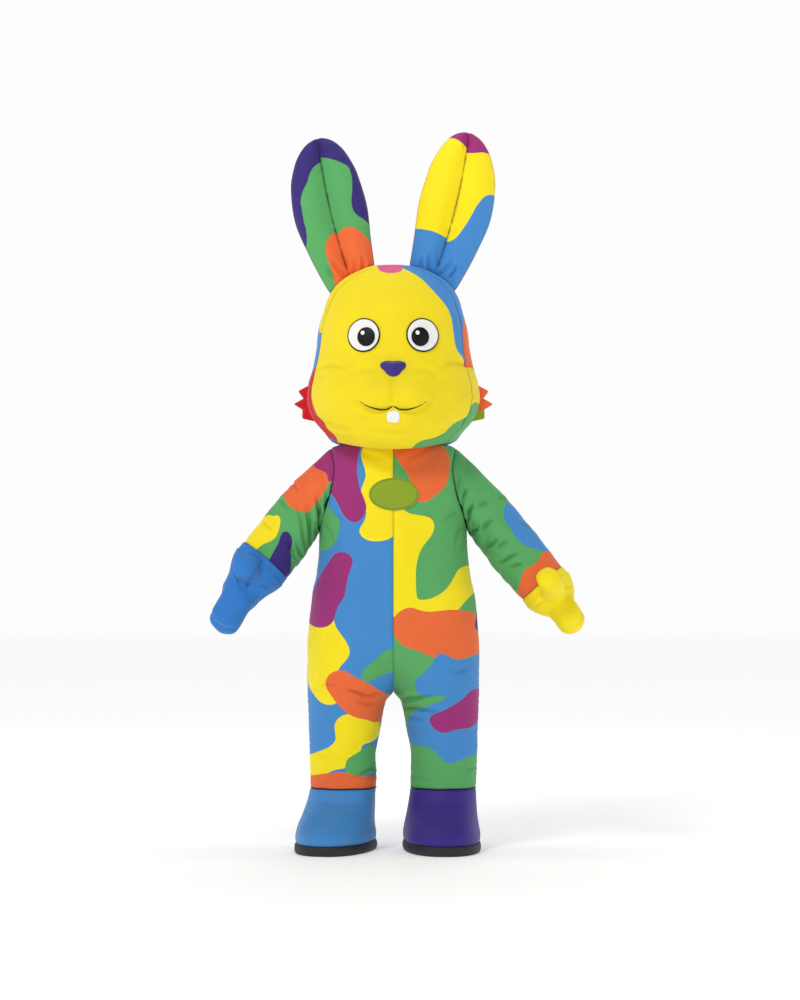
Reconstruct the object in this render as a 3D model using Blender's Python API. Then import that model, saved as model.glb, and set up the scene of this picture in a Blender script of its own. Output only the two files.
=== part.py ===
"""Rabbit mascot costume, worn pose, hollow: suit, head with ears, gloves and boots.

Metres, +Z up. The front faces -Y and the wearer's left side is at +X. The origin is the middle of the
wearer's shoulder line, where the costume hangs; heights in the tables are measured from the floor.
"""

import math

import bmesh
import bpy
import numpy as np

# Driving sizes
SHOULDER_HEIGHT = 1.27      # floor to the origin
GAP = 0.0003                # between two pieces at a seam
CLOTH = 0.003               # padded stretch cloth of the suit
GLOVE_CLOTH = 0.0026
BOOT_CLOTH = 0.004
HEAD_WALL = 0.008           # foam-backed plush
BADGE_CLOTH = 0.002
BADGE_CROWN = 0.001
SIDES = {"left": 1, "right": -1}

# Suit, one half: the outside and inside edge of a leg, then the half-width of the body
CROTCH_HEIGHT = 0.492
LEG_JOIN_HEIGHT = 0.68      # above this the two legs are one round body
JOIN_EASE = 1.35            # the legs start to join this gently
SUIT_COLUMNS = ("height", "outer", "inner", "front", "back", "roundness")
SUIT_SECTIONS = (
    (0.194, 0.2570, 0.0530, 0.103, 0.106, 2.10),
    (0.287, 0.2605, 0.0550, 0.108, 0.110, 2.10),
    (0.367, 0.2625, 0.0415, 0.118, 0.122, 2.10),
    (0.460, 0.2660, 0.0230, 0.136, 0.142, 2.15),
    (0.492, 0.2670, 0.0000, 0.147, 0.155, 2.20),
    (0.620, 0.2665, 0.0000, 0.190, 0.198, 2.30),
    (0.716, 0.2600, 0.0000, 0.210, 0.198, 2.35),
    (0.800, 0.2510, 0.0000, 0.214, 0.190, 2.35),
    (0.847, 0.2400, 0.0000, 0.212, 0.182, 2.35),
    (0.912, 0.2320, 0.0000, 0.205, 0.174, 2.35),
    (0.995, 0.2280, 0.0000, 0.193, 0.166, 2.40),
    (1.050, 0.2340, 0.0000, 0.184, 0.161, 2.40),
    (1.121, 0.2330, 0.0000, 0.172, 0.155, 2.40),
    (1.180, 0.2230, 0.0000, 0.155, 0.146, 2.35),
    (1.2475, 0.1920, 0.0000, 0.125, 0.126, 2.25),
    (1.262, 0.1500, 0.0000, 0.108, 0.112, 2.15),
    (1.275, 0.1150, 0.0000, 0.096, 0.100, 2.05),
    (1.290, 0.0930, 0.0000, 0.086, 0.088, 2.00),
    (1.315, 0.0850, 0.0000, 0.082, 0.083, 2.00),
)
LEG_ROWS = 8
JOIN_ROWS = 6
BODY_ROWS = 6
YOKE_HEIGHTS = (1.2555, 1.2620, 1.2690, 1.2800, 1.2950, 1.3150)
PANEL_STEPS = 7             # from the front seam to the side seam

# Armholes, seen from the side, and the sleeves that fill them
ARMHOLE_BOTTOM = 0.995
ARMHOLE_TOP = 1.2475
ARMHOLE_HALF_DEPTH = 0.115
ARMHOLE_STEPS = 8           # from the top of an armhole down to its bottom
SLEEVE_ROWS = 12
SLEEVE_TUCK = 0.025         # sleeve end inside the glove
SLEEVE_BOW = 0.015          # the upper side of an arm bulges
SLEEVE_SAG = 0.009          # and its underside hangs
SLEEVE_COLUMNS = ("along", "depth", "width", "skew", "turn")
SLEEVE_CREASES = (
    (0.10, 0.050, 0.045, 0.05, 2.4),
    (0.25, 0.045, 0.050, 0.09, 1.9),
    (0.43, 0.050, 0.055, -0.06, 2.2),
    (0.62, 0.045, 0.050, 0.08, 1.7),
    (0.80, 0.050, 0.050, -0.05, 2.0),
)
ARMS = {                    # in the plane of the shoulders: across, up; a thumb leans back to its sleeve
    "left": {
        "wrist": (0.462, 0.826), "radius": 0.0780, "knuckle": (0.501, 0.778), "tip": (0.5480, 0.713),
        "palm": 0.054, "thumb": (0.474, 0.833), "lean": 24.0, "flatten": 1.36,
    },
    "right": {
        "wrist": (-0.397, 0.898), "radius": 0.0845, "knuckle": (-0.470, 0.800), "tip": (-0.5205, 0.714),
        "palm": 0.061, "thumb": (-0.450, 0.876), "lean": 9.0, "flatten": 1.52,
    },
}
HAND_FORWARD = 0.030        # the wrists hang a little in front of the shoulders

# Gloves: three stacked fingers and a thumb that points forwards
FINGER_COLUMNS = ("depth", "reach", "radius")
FINGERS = ((-0.040, -0.012, 0.0335), (0.0, 0.008, 0.0340), (0.038, 0.014, 0.0320))
PALM_START = 0.97           # share of the cuff's radius where the palm starts
THUMB_RADIUS = 0.041
THUMB_ROOT = 0.058          # from the cuff's edge along the arm
THUMB_FORWARD = 0.122       # from the arm's axis to the middle of the thumb's end
THUMB_SPAN = (19.0, 11.0)   # degrees round the arm where the glove's rays start to lean back, and how soon
THUMB_ROWS = 0.28           # share of the hand's rows that lean
HALF_FAN = 0.65             # this far round from its front the glove has twice the columns,
QUARTER_FAN = 0.45          # and this far four times
HAND_BLEND = 0.016
FINGER_BLEND = 0.006
THUMB_BLEND = 0.006
HAND_ROWS = 9
HAND_CAP_ROWS = 4

# Boots
BOOT_TUCK = 0.030           # boot shaft inside the trouser leg
BOOT_YAW = {"left": 3.0, "right": -11.0}
BOOT_SHIFT = {"left": -0.006, "right": -0.018}   # how far each foot stands to one side of its leg
BOOT_COLUMNS = ("height", "half_width", "toe", "heel", "roundness", "turn")
BOOT_SECTIONS = (
    (0.186, 0.1025, 0.107, 0.107, 2.10, 0.15),
    (0.150, 0.1060, 0.126, 0.109, 2.15, 0.40),
    (0.112, 0.1100, 0.170, 0.113, 2.20, 0.75),
    (0.078, 0.1150, 0.213, 0.117, 2.25, 1.00),
    (0.052, 0.1180, 0.232, 0.120, 2.30, 1.00),
    (0.0303, 0.1175, 0.236, 0.120, 2.30, 1.00),
)
SOLE_HALF_WIDTH = 0.1210
SOLE_TOE = 0.2430
SOLE_HEEL = 0.1260
SOLE_THICKNESS = 0.030
SOLE_ROUNDING = 0.007
SOLE_ROUNDNESS = 2.35
BOOT_STEPS = 4 * PANEL_STEPS

# Head: rings from the neck rim up to the crown, with their own height at side, front and back
HEAD_COLUMNS = ("ring", "side", "front_height", "back_height", "half_width", "front", "back")
HEAD_SECTIONS = (
    (1, 1.2605, 1.2440, 1.2570, 0.172, 0.158, 0.146),
    (2, 1.2680, 1.2290, 1.2620, 0.192, 0.205, 0.176),
    (3, 1.2940, 1.2420, 1.2850, 0.214, 0.236, 0.198),
    (4, 1.3270, 1.2780, 1.3220, 0.243, 0.254, 0.214),
    (5, 1.3620, 1.3300, 1.3600, 0.262, 0.262, 0.226),
    (6, 1.4000, 1.3860, 1.4000, 0.269, 0.262, 0.234),
    (7, 1.4440, 1.4400, 1.4440, 0.264, 0.257, 0.240),
    (8, 1.4950, 1.4950, 1.4950, 0.250, 0.251, 0.243),
    (9, 1.5500, 1.5500, 1.5500, 0.240, 0.245, 0.243),
    (10, 1.6080, 1.6080, 1.6080, 0.234, 0.235, 0.238),
    (11, 1.6650, 1.6650, 1.6650, 0.219, 0.214, 0.222),
    (12, 1.7180, 1.7180, 1.7180, 0.201, 0.183, 0.195),
    (13, 1.7600, 1.7600, 1.7600, 0.169, 0.148, 0.161),
    (14, 1.7900, 1.7900, 1.7900, 0.124, 0.110, 0.121),
    (15, 1.8090, 1.8090, 1.8090, 0.074, 0.065, 0.072),
    (16, 1.8160, 1.8160, 1.8160, 0.000, 0.000, 0.000),
)
HEAD_ROUNDNESS = 2.15
RIM_HEIGHT = 1.262          # ring of the shoulders on which the head rests
RIM_LIFT = 0.0010           # clears the corners of the shoulders
CROWN_RING = 16
FACE_TOP_FRONT = 0.090      # the face panel ends where the head is this deep
FACE_SEAM = {"left": 0.125, "right": 0.088}
FACE_STEPS = 8
HEAD_BACK_STEPS = 10
CUTTER_LIFT = 0.0008        # ears and pads end this far outside the head
CROWN_RINGS = [15.0, 15.6, 15.9, 16.0]
BUMP_COLUMNS = ("across", "height", "half_width", "half_height", "forward")
FACE_BUMPS = (              # cheeks, muzzle lobes, chin
    (0.165, 1.392, 0.085, 0.075, 0.026),
    (0.052, 1.392, 0.060, 0.055, 0.046),
    (0.000, 1.305, 0.085, 0.050, 0.014),
)

# Ears, each stuffed between two front panels and a back panel
EAR_COLUMNS = ("along", "half_width", "front", "back")
EAR_SECTIONS = (
    (-0.16, 0.062, 0.031, 0.031),
    (0.00, 0.080, 0.037, 0.037),
    (0.25, 0.101, 0.045, 0.045),
    (0.50, 0.116, 0.049, 0.048),
    (0.70, 0.108, 0.045, 0.043),
    (0.86, 0.084, 0.037, 0.034),
    (0.95, 0.056, 0.027, 0.025),
    (0.985, 0.034, 0.018, 0.017),
    (1.00, 0.016, 0.010, 0.010),
)
EARS = {                    # across, up
    "left": {"base": (0.1225, 1.7685), "tip": (0.235, 2.231), "bow": 0.015},
    "right": {"base": (-0.1320, 1.7670), "tip": (-0.236, 2.213), "bow": 0.013},
}
EAR_VALLEY = 0.55           # share of the front's depth lost at its centre seam
EAR_VALLEY_WIDTH = 0.30
EAR_EDGE = 0.004
EAR_BACK_LEAN = 0.020
EAR_ROWS = 11
EAR_STEPS = 5

# Small sewn-on pieces: across, height and half-sizes
BADGE = {"at": (0.002, 1.095), "size": (0.0755, 0.0500)}
NOSE = {"at": (0.0, 1.470), "size": (0.036, 0.024)}
EYE = {"at": (0.088, 1.572), "size": (0.047, 0.050)}
PUPIL = {"at": (0.080, 1.566), "size": (0.026, 0.029)}
TEETH = {"at": (0.0, 1.322), "size": (0.019, 0.017)}
EYE_THICKNESS = 0.004
NOSE_THICKNESS = 0.006
PAD_ROOT = 0.006            # a pad starts under the face and is trimmed to it
PLACKET_HALF_WIDTH = 0.020
PLACKET_BOTTOM = 0.70
PLACKET_TOP = 1.255
TUFT_COLUMNS = ("across", "height")
TUFT_OUTLINE = (            # tips and valleys of one cheek tuft, from the top round to its root
    (0.245, 1.452), (0.298, 1.424), (0.279, 1.402), (0.311, 1.384),
    (0.283, 1.367), (0.284, 1.339), (0.235, 1.328),
)
TUFT_HALF_THICKNESS = 0.013
TUFT_ROUNDING = 0.005
TUFT_DEPTH = -0.010


def clear_scene():
    for item in list(bpy.data.objects):
        bpy.data.objects.remove(item, do_unlink=True)


def new_collection(name):
    collection = bpy.data.collections.new(name)
    bpy.context.scene.collection.children.link(collection)
    return collection


def new_material(name, colour, roughness):
    material = bpy.data.materials.new(name)
    material.use_nodes = True
    shader = material.node_tree.nodes["Principled BSDF"]
    shader.inputs["Base Color"].default_value = (*colour, 1.0)
    shader.inputs["Roughness"].default_value = roughness
    material.diffuse_color = (*colour, 1.0)
    return material


def monotone_curve(places, values):
    """A smooth curve through the values that never overshoots them."""
    places = np.array(places, float)
    values = np.array(values, float)
    rises = np.diff(values) / np.diff(places)
    slopes = np.zeros(len(places))
    slopes[0] = rises[0]
    slopes[-1] = rises[-1]
    for index in range(1, len(places) - 1):
        before, after = rises[index - 1], rises[index]
        if before * after > 0:
            slopes[index] = 2 * before * after / (before + after)

    def curve(at):
        at = np.clip(at, places[0], places[-1])
        cell = np.clip(np.searchsorted(places, at, side="right") - 1, 0, len(places) - 2)
        step = places[cell + 1] - places[cell]
        part = (at - places[cell]) / step
        start = (1 + 2 * part) * (1 - part) ** 2 * values[cell]
        finish = part ** 2 * (3 - 2 * part) * values[cell + 1]
        bend = part * (1 - part) ** 2 * slopes[cell] - part ** 2 * (1 - part) * slopes[cell + 1]
        return start + finish + step * bend

    return curve


def profile(columns, rows):
    """Each named column of a table as a smooth curve over the first column."""
    places = [row[0] for row in rows]
    return {name: monotone_curve(places, [row[index] for row in rows]) for index, name in enumerate(columns)}


def signed_power(value, power):
    return np.sign(value) * np.abs(value) ** power


def smooth_step(value):
    value = np.clip(value, 0.0, 1.0)
    return value * value * (3 - 2 * value)


SUIT = profile(SUIT_COLUMNS, SUIT_SECTIONS)
BOOT = profile(BOOT_COLUMNS, BOOT_SECTIONS[::-1])
HEAD = profile(HEAD_COLUMNS, HEAD_SECTIONS)
EAR = profile(EAR_COLUMNS, EAR_SECTIONS)


# Solids from grids of points

def add_object(name, mesh, material, collection):
    item = bpy.data.objects.new(name, mesh)
    collection.objects.link(item)
    mesh.materials.append(material)
    mesh.shade_smooth()
    return item


def mesh_from_faces(name, points, faces):
    """A closed mesh whose faces all point outwards."""
    shape = bmesh.new()
    corners = [shape.verts.new(point) for point in points]
    for face in faces:
        shape.faces.new([corners[index] for index in face])
    bmesh.ops.remove_doubles(shape, verts=shape.verts, dist=0.00002)
    bmesh.ops.recalc_face_normals(shape, faces=shape.faces)
    mesh = bpy.data.meshes.new(name)
    shape.to_mesh(mesh)
    shape.free()
    return mesh


def grid_faces(rows, columns, start, wrap):
    """Triangles of a grid of points, all split the same way, whose columns may close into a ring."""
    faces = []
    for row in range(rows - 1):
        for column in range(columns if wrap else columns - 1):
            after = (column + 1) % columns
            here = start + row * columns
            above = here + columns
            faces.append((here + column, here + after, above + after))
            faces.append((here + column, above + after, above + column))
    return faces


def wall(name, outer, inner, wrap):
    """A cloth wall between an outer and an inner grid of points: a panel, or a tube where it wraps."""
    outer = np.array(outer)
    inner = np.array(inner)
    rows, columns = outer.shape[:2]
    size = rows * columns
    points = np.concatenate([outer.reshape(-1, 3), inner.reshape(-1, 3)])
    faces = grid_faces(rows, columns, 0, wrap)
    faces += [face[::-1] for face in grid_faces(rows, columns, size, wrap)]
    for row in (0, rows - 1):
        for column in range(columns if wrap else columns - 1):
            a = row * columns + column
            b = row * columns + (column + 1) % columns
            faces.append((a, b, b + size, a + size))
    if not wrap:
        for column in (0, columns - 1):
            for row in range(rows - 1):
                a = row * columns + column
                b = a + columns
                faces.append((a, b, b + size, a + size))
    return mesh_from_faces(name, points.tolist(), drop_collapsed(points, faces))


def drop_collapsed(points, faces):
    """Faces whose corners meet lose the doubled corner, or go when too few corners are left."""
    kept = []
    for face in faces:
        corners = []
        for index in face:
            if all(np.linalg.norm(points[index] - points[other]) > 0.00002 for other in corners):
                corners.append(index)
        if len(corners) > 2:
            kept.append(tuple(corners))
    return kept


def closed_tube(name, rings):
    """A solid through closed rings of points, capped at both ends."""
    rings = np.array(rings)
    rows, columns = rings.shape[:2]
    faces = grid_faces(rows, columns, 0, True)
    faces.append(tuple(range(columns)))
    faces.append(tuple(reversed(range((rows - 1) * columns, rows * columns))))
    return mesh_from_faces(name, rings.reshape(-1, 3).tolist(), faces)


def to_frame(x, y, height):
    return np.stack(np.broadcast_arrays(x, y, np.asarray(height) - SHOULDER_HEIGHT), axis=-1)


# Suit

def suit_section(height):
    """Centre, half-width, depths, roundness and first angle of one half of the suit."""
    outer = SUIT["outer"](height)
    roundness = SUIT["roundness"](height)
    if height >= CROTCH_HEIGHT:
        climb = min(1.0, (height - CROTCH_HEIGHT) / (LEG_JOIN_HEIGHT - CROTCH_HEIGHT))
        joined = 1 - (1 - climb ** JOIN_EASE) ** 2
        half = outer / (2 - joined)
        centre = outer - half
        first = math.acos(min(1.0, centre / half) ** (roundness / 2))
    else:
        inner = SUIT["inner"](height)
        half = (outer - inner) / 2
        centre = (outer + inner) / 2
        first = 0.0
    return centre, half, SUIT["front"](height), SUIT["back"](height), roundness, first


def suit_point(height, share):
    """A point of the left half: share 0 at the front or inside seam, 0.5 at the side, 1 at the back."""
    centre, half, front, back, roundness, first = suit_section(height)
    angle = first + share * 2 * (math.pi - first)
    depth = front if math.sin(angle) > 0 else back
    x = centre - half * signed_power(math.cos(angle), 2 / roundness)
    y = -depth * signed_power(math.sin(angle), 2 / roundness)
    return np.array((x, y, height))


def suit_normal(height, share):
    step_height = 0.0006
    step_share = 0.004
    low = max(0.0, share - step_share)
    high = min(1.0, share + step_share)
    along = suit_point(height, high) - suit_point(height, low)
    up = suit_point(height + step_height, share) - suit_point(height - step_height, share)
    normal = np.cross(along, up)
    normal /= np.linalg.norm(normal)
    if share in (0.0, 1.0):
        if height < CROTCH_HEIGHT:
            normal[1] = 0.0
        elif height > LEG_JOIN_HEIGHT:
            normal[0] = 0.0
        else:
            normal[0] = min(normal[0], 0.0)
    if share == 0.5:
        normal[1] = 0.0
    return normal / np.linalg.norm(normal)


def armhole_half_depth(height):
    middle = (ARMHOLE_TOP + ARMHOLE_BOTTOM) / 2
    reach = (ARMHOLE_TOP - ARMHOLE_BOTTOM) / 2
    return ARMHOLE_HALF_DEPTH * math.sqrt(max(0.0, 1 - ((height - middle) / reach) ** 2))


def edge_share(height, back):
    """Where a panel ends: at the side seam, or at the armhole."""
    opening = armhole_half_depth(height)
    if opening < 1e-6:
        return 0.5
    _, _, front_depth, back_depth, roundness, first = suit_section(height)
    depth = back_depth if back else front_depth
    angle = math.pi - math.asin((opening / depth) ** (roundness / 2))
    share = (angle - first) / (2 * (math.pi - first))
    return 1 - share if back else share


def suit_heights():
    legs = np.linspace(SUIT_SECTIONS[0][0], CROTCH_HEIGHT, LEG_ROWS)
    joins = [CROTCH_HEIGHT + (LEG_JOIN_HEIGHT - CROTCH_HEIGHT) * (row / JOIN_ROWS) ** 1.7
             for row in range(1, JOIN_ROWS + 1)]
    body = np.linspace(LEG_JOIN_HEIGHT, ARMHOLE_BOTTOM, BODY_ROWS)[1:]
    middle = (ARMHOLE_TOP + ARMHOLE_BOTTOM) / 2
    reach = (ARMHOLE_TOP - ARMHOLE_BOTTOM) / 2
    armhole = [middle - reach * math.cos(math.pi * row / ARMHOLE_STEPS)
               for row in range(1, ARMHOLE_STEPS + 1)]
    return [*legs, *joins, *body, *armhole, *YOKE_HEIGHTS]


def suit_panel(side, back):
    """Outer and inner points of one of the four panels of the suit."""
    outer = []
    inner = []
    for height in suit_heights():
        edge = edge_share(height, back)
        shares = np.linspace(1.0 if back else 0.0, edge, PANEL_STEPS + 1)
        outer_row = []
        inner_row = []
        for share in shares:
            point = suit_point(height, share)
            under = point - CLOTH * suit_normal(height, share)
            for row, spot in ((outer_row, point), (inner_row, under)):
                x = max(spot[0], GAP / 2)
                y = max(spot[1], GAP / 2) if back else min(spot[1], -GAP / 2)
                row.append(to_frame(side * x, y, spot[2]))
        outer.append(outer_row)
        inner.append(inner_row)
    return outer, inner


def surface_of_suit(x, height, back=False):
    """The suit's outside at a place across and a height, on the front or on the back."""
    centre, half, front, back_depth, roundness, _ = suit_section(height)
    depth = back_depth if back else front
    share = min(1.0, abs(abs(x) - centre) / half)
    y = depth * (1 - share ** roundness) ** (1 / roundness)
    return np.array((x, y if back else -y, height))


def to_frame_all(rings):
    return np.array(rings) - (0.0, 0.0, SHOULDER_HEIGHT)


def inside_of(rings, thickness, turn):
    """The inside of a tube's wall: each point moved in along the normal of its neighbours."""
    around = np.roll(rings, -1, axis=1) - np.roll(rings, 1, axis=1)
    along = np.gradient(rings, axis=0)
    normals = np.cross(around, along) * turn
    normals /= np.linalg.norm(normals, axis=-1, keepdims=True)
    return rings - thickness * normals


# Sleeves

def armhole_point(angle):
    """The armhole's edge on the left side: angle 0 at its top, a quarter turn at its front."""
    middle = (ARMHOLE_TOP + ARMHOLE_BOTTOM) / 2
    reach = (ARMHOLE_TOP - ARMHOLE_BOTTOM) / 2
    height = middle + reach * math.cos(angle)
    y = -ARMHOLE_HALF_DEPTH * math.sin(angle)
    centre, half, front, back, roundness, _ = suit_section(height)
    depth = front if y < 0 else back
    x = centre + half * (1 - (abs(y) / depth) ** roundness) ** (1 / roundness)
    return np.array((x, y, height))


def arm_frame(side_name):
    """Armhole centre, wrist, and the directions along and across an arm."""
    side = SIDES[side_name]
    arm = ARMS[side_name]
    start = (armhole_point(0.0) + armhole_point(math.pi)) / 2 * (side, 1, 1)
    wrist = np.array((arm["wrist"][0], -HAND_FORWARD, arm["wrist"][1]))
    along = wrist - start
    along /= np.linalg.norm(along)
    front = np.array((0.0, -1.0, 0.0))
    front -= along * front.dot(along)
    front /= np.linalg.norm(front)
    upper = np.cross(front, along) * side
    return start, wrist, along, upper, front


def crease_scale(along, angle):
    """How far the sleeve draws in: shallow soft troughs that cross the arm aslant."""
    scale = 1.0
    for place, depth, width, skew, turn in SLEEVE_CREASES:
        middle = place + skew * math.cos(angle - turn)
        reach = 0.5 + 0.5 * math.cos(angle - turn)
        scale -= depth * reach * math.exp(-((along - middle) / width) ** 2)
    return scale


def armhole_ring(side, angles, inset):
    """The sleeve's first ring: just outside the armhole's edge, drawn in towards its middle by the inset."""
    middle = (ARMHOLE_TOP + ARMHOLE_BOTTOM) / 2
    ring = []
    for angle in angles:
        seam = armhole_point(angle)
        shrink = 1 - inset / math.hypot(seam[1], seam[2] - middle)
        ring.append((side * (seam[0] + GAP), seam[1] * shrink, middle + (seam[2] - middle) * shrink))
    return np.array(ring)


def sleeve_ring(side_name, along_share, angles):
    """One ring of the sleeve's outside, between its armhole and its wrist."""
    start, wrist, _, upper, front = arm_frame(side_name)
    radius = ARMS[side_name]["radius"]
    fade = smooth_step(min(along_share, 1 - along_share) / 0.12)
    ring = []
    for angle, seam in zip(angles, armhole_ring(SIDES[side_name], angles, 0.0)):
        end = wrist + radius * (math.cos(angle) * upper + math.sin(angle) * front)
        point = seam + (end - seam) * along_share
        turn = math.cos(angle)
        bulge = SLEEVE_BOW * max(0.0, turn) - SLEEVE_SAG * max(0.0, -turn)
        bow = bulge * 4 * along_share * (1 - along_share)
        core = start + (wrist - start) * along_share
        scale = 1 + fade * (crease_scale(along_share, angle) - 1)
        ring.append(core + (point - core) * scale + upper * bow)
    return np.array(ring)


def sleeve(side_name, rows, steps):
    """Outer and inner points of a sleeve, from its armhole to its end inside the glove."""
    angles = [2 * math.pi * step / steps for step in range(steps)]
    _, _, along, _, _ = arm_frame(side_name)
    outer = [sleeve_ring(side_name, row / rows, angles) for row in range(rows + 1)]
    outer.append(outer[-1] + SLEEVE_TUCK * along)
    inner = inside_of(np.array(outer), CLOTH, SIDES[side_name])
    inner[0] = armhole_ring(SIDES[side_name], angles, CLOTH)
    inner[-2] = inner[-1] - SLEEVE_TUCK * along
    return to_frame_all(outer), to_frame_all(inner)


# Gloves

def capsule(points, start, end, radius_start, radius_end, squash=None, factor=1.0):
    """Distance of points from a rod with round ends, flattened along one direction if asked."""
    axis = end - start
    share = np.clip(((points - start) @ axis) / axis.dot(axis), 0.0, 1.0)
    offset = points - start - share[..., None] * axis
    if squash is not None:
        offset = offset - (offset @ squash)[..., None] * squash * (1 - 1 / factor)
    return np.linalg.norm(offset, axis=-1) - (radius_start + share * (radius_end - radius_start))


def soft_union(first, second, blend):
    part = np.clip(0.5 + 0.5 * (second - first) / blend, 0.0, 1.0)
    return second + (first - second) * part - blend * part * (1 - part)


def hand_distance(side_name, points):
    """Distance from the outside of a gloved hand, below zero inside it."""
    side = SIDES[side_name]
    arm = ARMS[side_name]
    _, wrist, along, _, _ = arm_frame(side_name)
    radius = arm["radius"] + GAP + GLOVE_CLOTH
    knuckle = np.array((arm["knuckle"][0], -HAND_FORWARD - 0.004, arm["knuckle"][1]))
    tip = np.array((arm["tip"][0], -HAND_FORWARD - 0.008, arm["tip"][1]))
    bend = (tip - knuckle) / np.linalg.norm(tip - knuckle)
    thick = np.array((bend[2], 0.0, -bend[0])) * -side
    thick /= np.linalg.norm(thick)
    heel = wrist + along * SLEEVE_TUCK
    shape = capsule(points, wrist, heel, radius, radius)
    palm = capsule(points, heel, knuckle, radius * PALM_START, arm["palm"])
    shape = soft_union(shape, palm, HAND_BLEND)
    for depth, reach, finger_radius in FINGERS:
        root = knuckle + (0.0, depth * 0.8, 0.0)
        end = tip + (0.0, depth, 0.0) + bend * reach
        finger = capsule(points, root, end, finger_radius, finger_radius * 0.94, thick, arm["flatten"])
        shape = soft_union(shape, finger, FINGER_BLEND)
    thumb_root = wrist + along * THUMB_ROOT
    thumb_tip = np.array((arm["thumb"][0], -HAND_FORWARD - THUMB_FORWARD, arm["thumb"][1]))
    thumb = capsule(points, thumb_root, thumb_tip, THUMB_RADIUS, THUMB_RADIUS)
    return soft_union(shape, thumb, THUMB_BLEND)


def hand_rays(side_name, rows, cap_rows, angles):
    """Starting points and directions that reach every part of a gloved hand; some lean back to its thumb."""
    arm = ARMS[side_name]
    _, wrist, along, upper, front = arm_frame(side_name)
    tip = np.array((arm["tip"][0], -HAND_FORWARD - 0.008, arm["tip"][1]))
    heel = wrist + along * SLEEVE_TUCK
    turn = math.atan2(THUMB_FORWARD, (np.array((arm["thumb"][0], wrist[1], arm["thumb"][1])) - wrist) @ upper)
    angles = np.array(angles)
    near = smooth_step((THUMB_SPAN[0] - np.abs(np.degrees(angles - turn))) / THUMB_SPAN[1])
    across = np.cos(angles)[:, None] * upper + np.sin(angles)[:, None] * front
    rays = []
    for row in range(1, rows + 1):
        share = row / rows
        place = share + near * (max(0.0, (share - THUMB_ROWS) / (1 - THUMB_ROWS)) - share)
        lean = np.radians(near * arm["lean"] * max(0.0, 1 - share / THUMB_ROWS))
        cores = heel + (tip - heel) * place[:, None] * 0.93
        rays.append((cores, np.cos(lean)[:, None] * across - np.sin(lean)[:, None] * along))
    for row in range(1, cap_rows + 1):
        tilt = math.pi / 2 * row / cap_rows
        rays.append((cores, math.cos(tilt) * across + math.sin(tilt) * along))
    return rays


def hand_ring(side_name, cores, directions, inset):
    """Where rays leave the hand, less an inset."""
    reaches = np.linspace(0.0, 0.24, 193)
    samples = cores[:, None, :] + directions[:, None, :] * reaches[None, :, None]
    depths = hand_distance(side_name, samples) + inset
    ring = []
    for core, direction, depth in zip(cores, directions, depths):
        last = np.max(np.nonzero(depth < 0)[0])
        share = depth[last] / (depth[last] - depth[last + 1])
        ring.append(core + direction * (reaches[last] + share * (reaches[last + 1] - reaches[last])))
    return np.array(ring)


def glove_columns(steps):
    """Angle of each column of a glove, and its share of the radius at the cuff's straight sides."""
    step = 2 * math.pi / steps
    columns = []
    for index in range(steps):
        for part, fan in ((0.0, math.tau), (0.25, QUARTER_FAN), (0.5, HALF_FAN), (0.75, QUARTER_FAN)):
            angle = (index + part) * step
            if abs(angle - math.pi / 2) < fan:
                columns.append((angle, math.cos(step / 2) / math.cos((part - 0.5) * step)))
    return columns


def cuff_ring(middle, radius, upper, front, columns):
    """A ring whose corners are the sleeve's own; added columns lie on the straight sides between them."""
    ring = []
    for angle, share in columns:
        ring.append(middle + radius * share * (math.cos(angle) * upper + math.sin(angle) * front))
    return np.array(ring)


def glove(side_name, rows, cap_rows, steps):
    """Outer and inner points of a glove, from its cuff over the sleeve to its fingertips."""
    columns = glove_columns(steps)
    angles = [angle for angle, _ in columns]
    _, wrist, along, upper, front = arm_frame(side_name)
    radius = ARMS[side_name]["radius"] + GAP
    grids = []
    for inset, cuff_radius in ((0.0, radius + GLOVE_CLOTH), (GLOVE_CLOTH, radius)):
        rings = []
        for place in (0.0, SLEEVE_TUCK):
            rings.append(cuff_ring(wrist + along * place, cuff_radius, upper, front, columns))
        for core, directions in hand_rays(side_name, rows, cap_rows, angles):
            rings.append(hand_ring(side_name, core, directions, inset))
        grids.append([to_frame(ring[:, 0], ring[:, 1], ring[:, 2]) for ring in rings])
    return grids


# Boots

def turned(x, y, yaw):
    """A place in plan, turned about the ankle: a positive yaw swings the toe towards +X."""
    angle = math.radians(yaw)
    return x * math.cos(angle) - y * math.sin(angle), x * math.sin(angle) + y * math.cos(angle)


def boot_ring(side, half_width, toe, heel, roundness, yaw, steps):
    """An outline in plan round the ankle's centre, from the inside edge round the toe."""
    ring = []
    for step in range(steps):
        angle = 2 * math.pi * step / steps
        reach = toe if math.sin(angle) > 0 else heel
        x = -side * half_width * signed_power(math.cos(angle), 2 / roundness)
        y = -reach * signed_power(math.sin(angle), 2 / roundness)
        ring.append(turned(x, y, yaw))
    return np.array(ring)


def ankle():
    hem = SUIT_SECTIONS[0]
    return (hem[1] + hem[2]) / 2


def shaft_ring(side, height, inset):
    """A ring of the boot inside the trouser leg: the leg's own corners and one point between each two."""
    shares = np.arange(2 * PANEL_STEPS) / (2 * PANEL_STEPS)
    ring = []
    for share in shares:
        point = suit_point(height, share) - inset * suit_normal(height, share)
        ring.append((side * point[0], point[1]))
    ring = np.array(ring)
    between = (ring + np.roll(ring, -1, axis=0)) / 2
    return np.stack([ring, between], axis=1).reshape(-1, 2)


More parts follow.
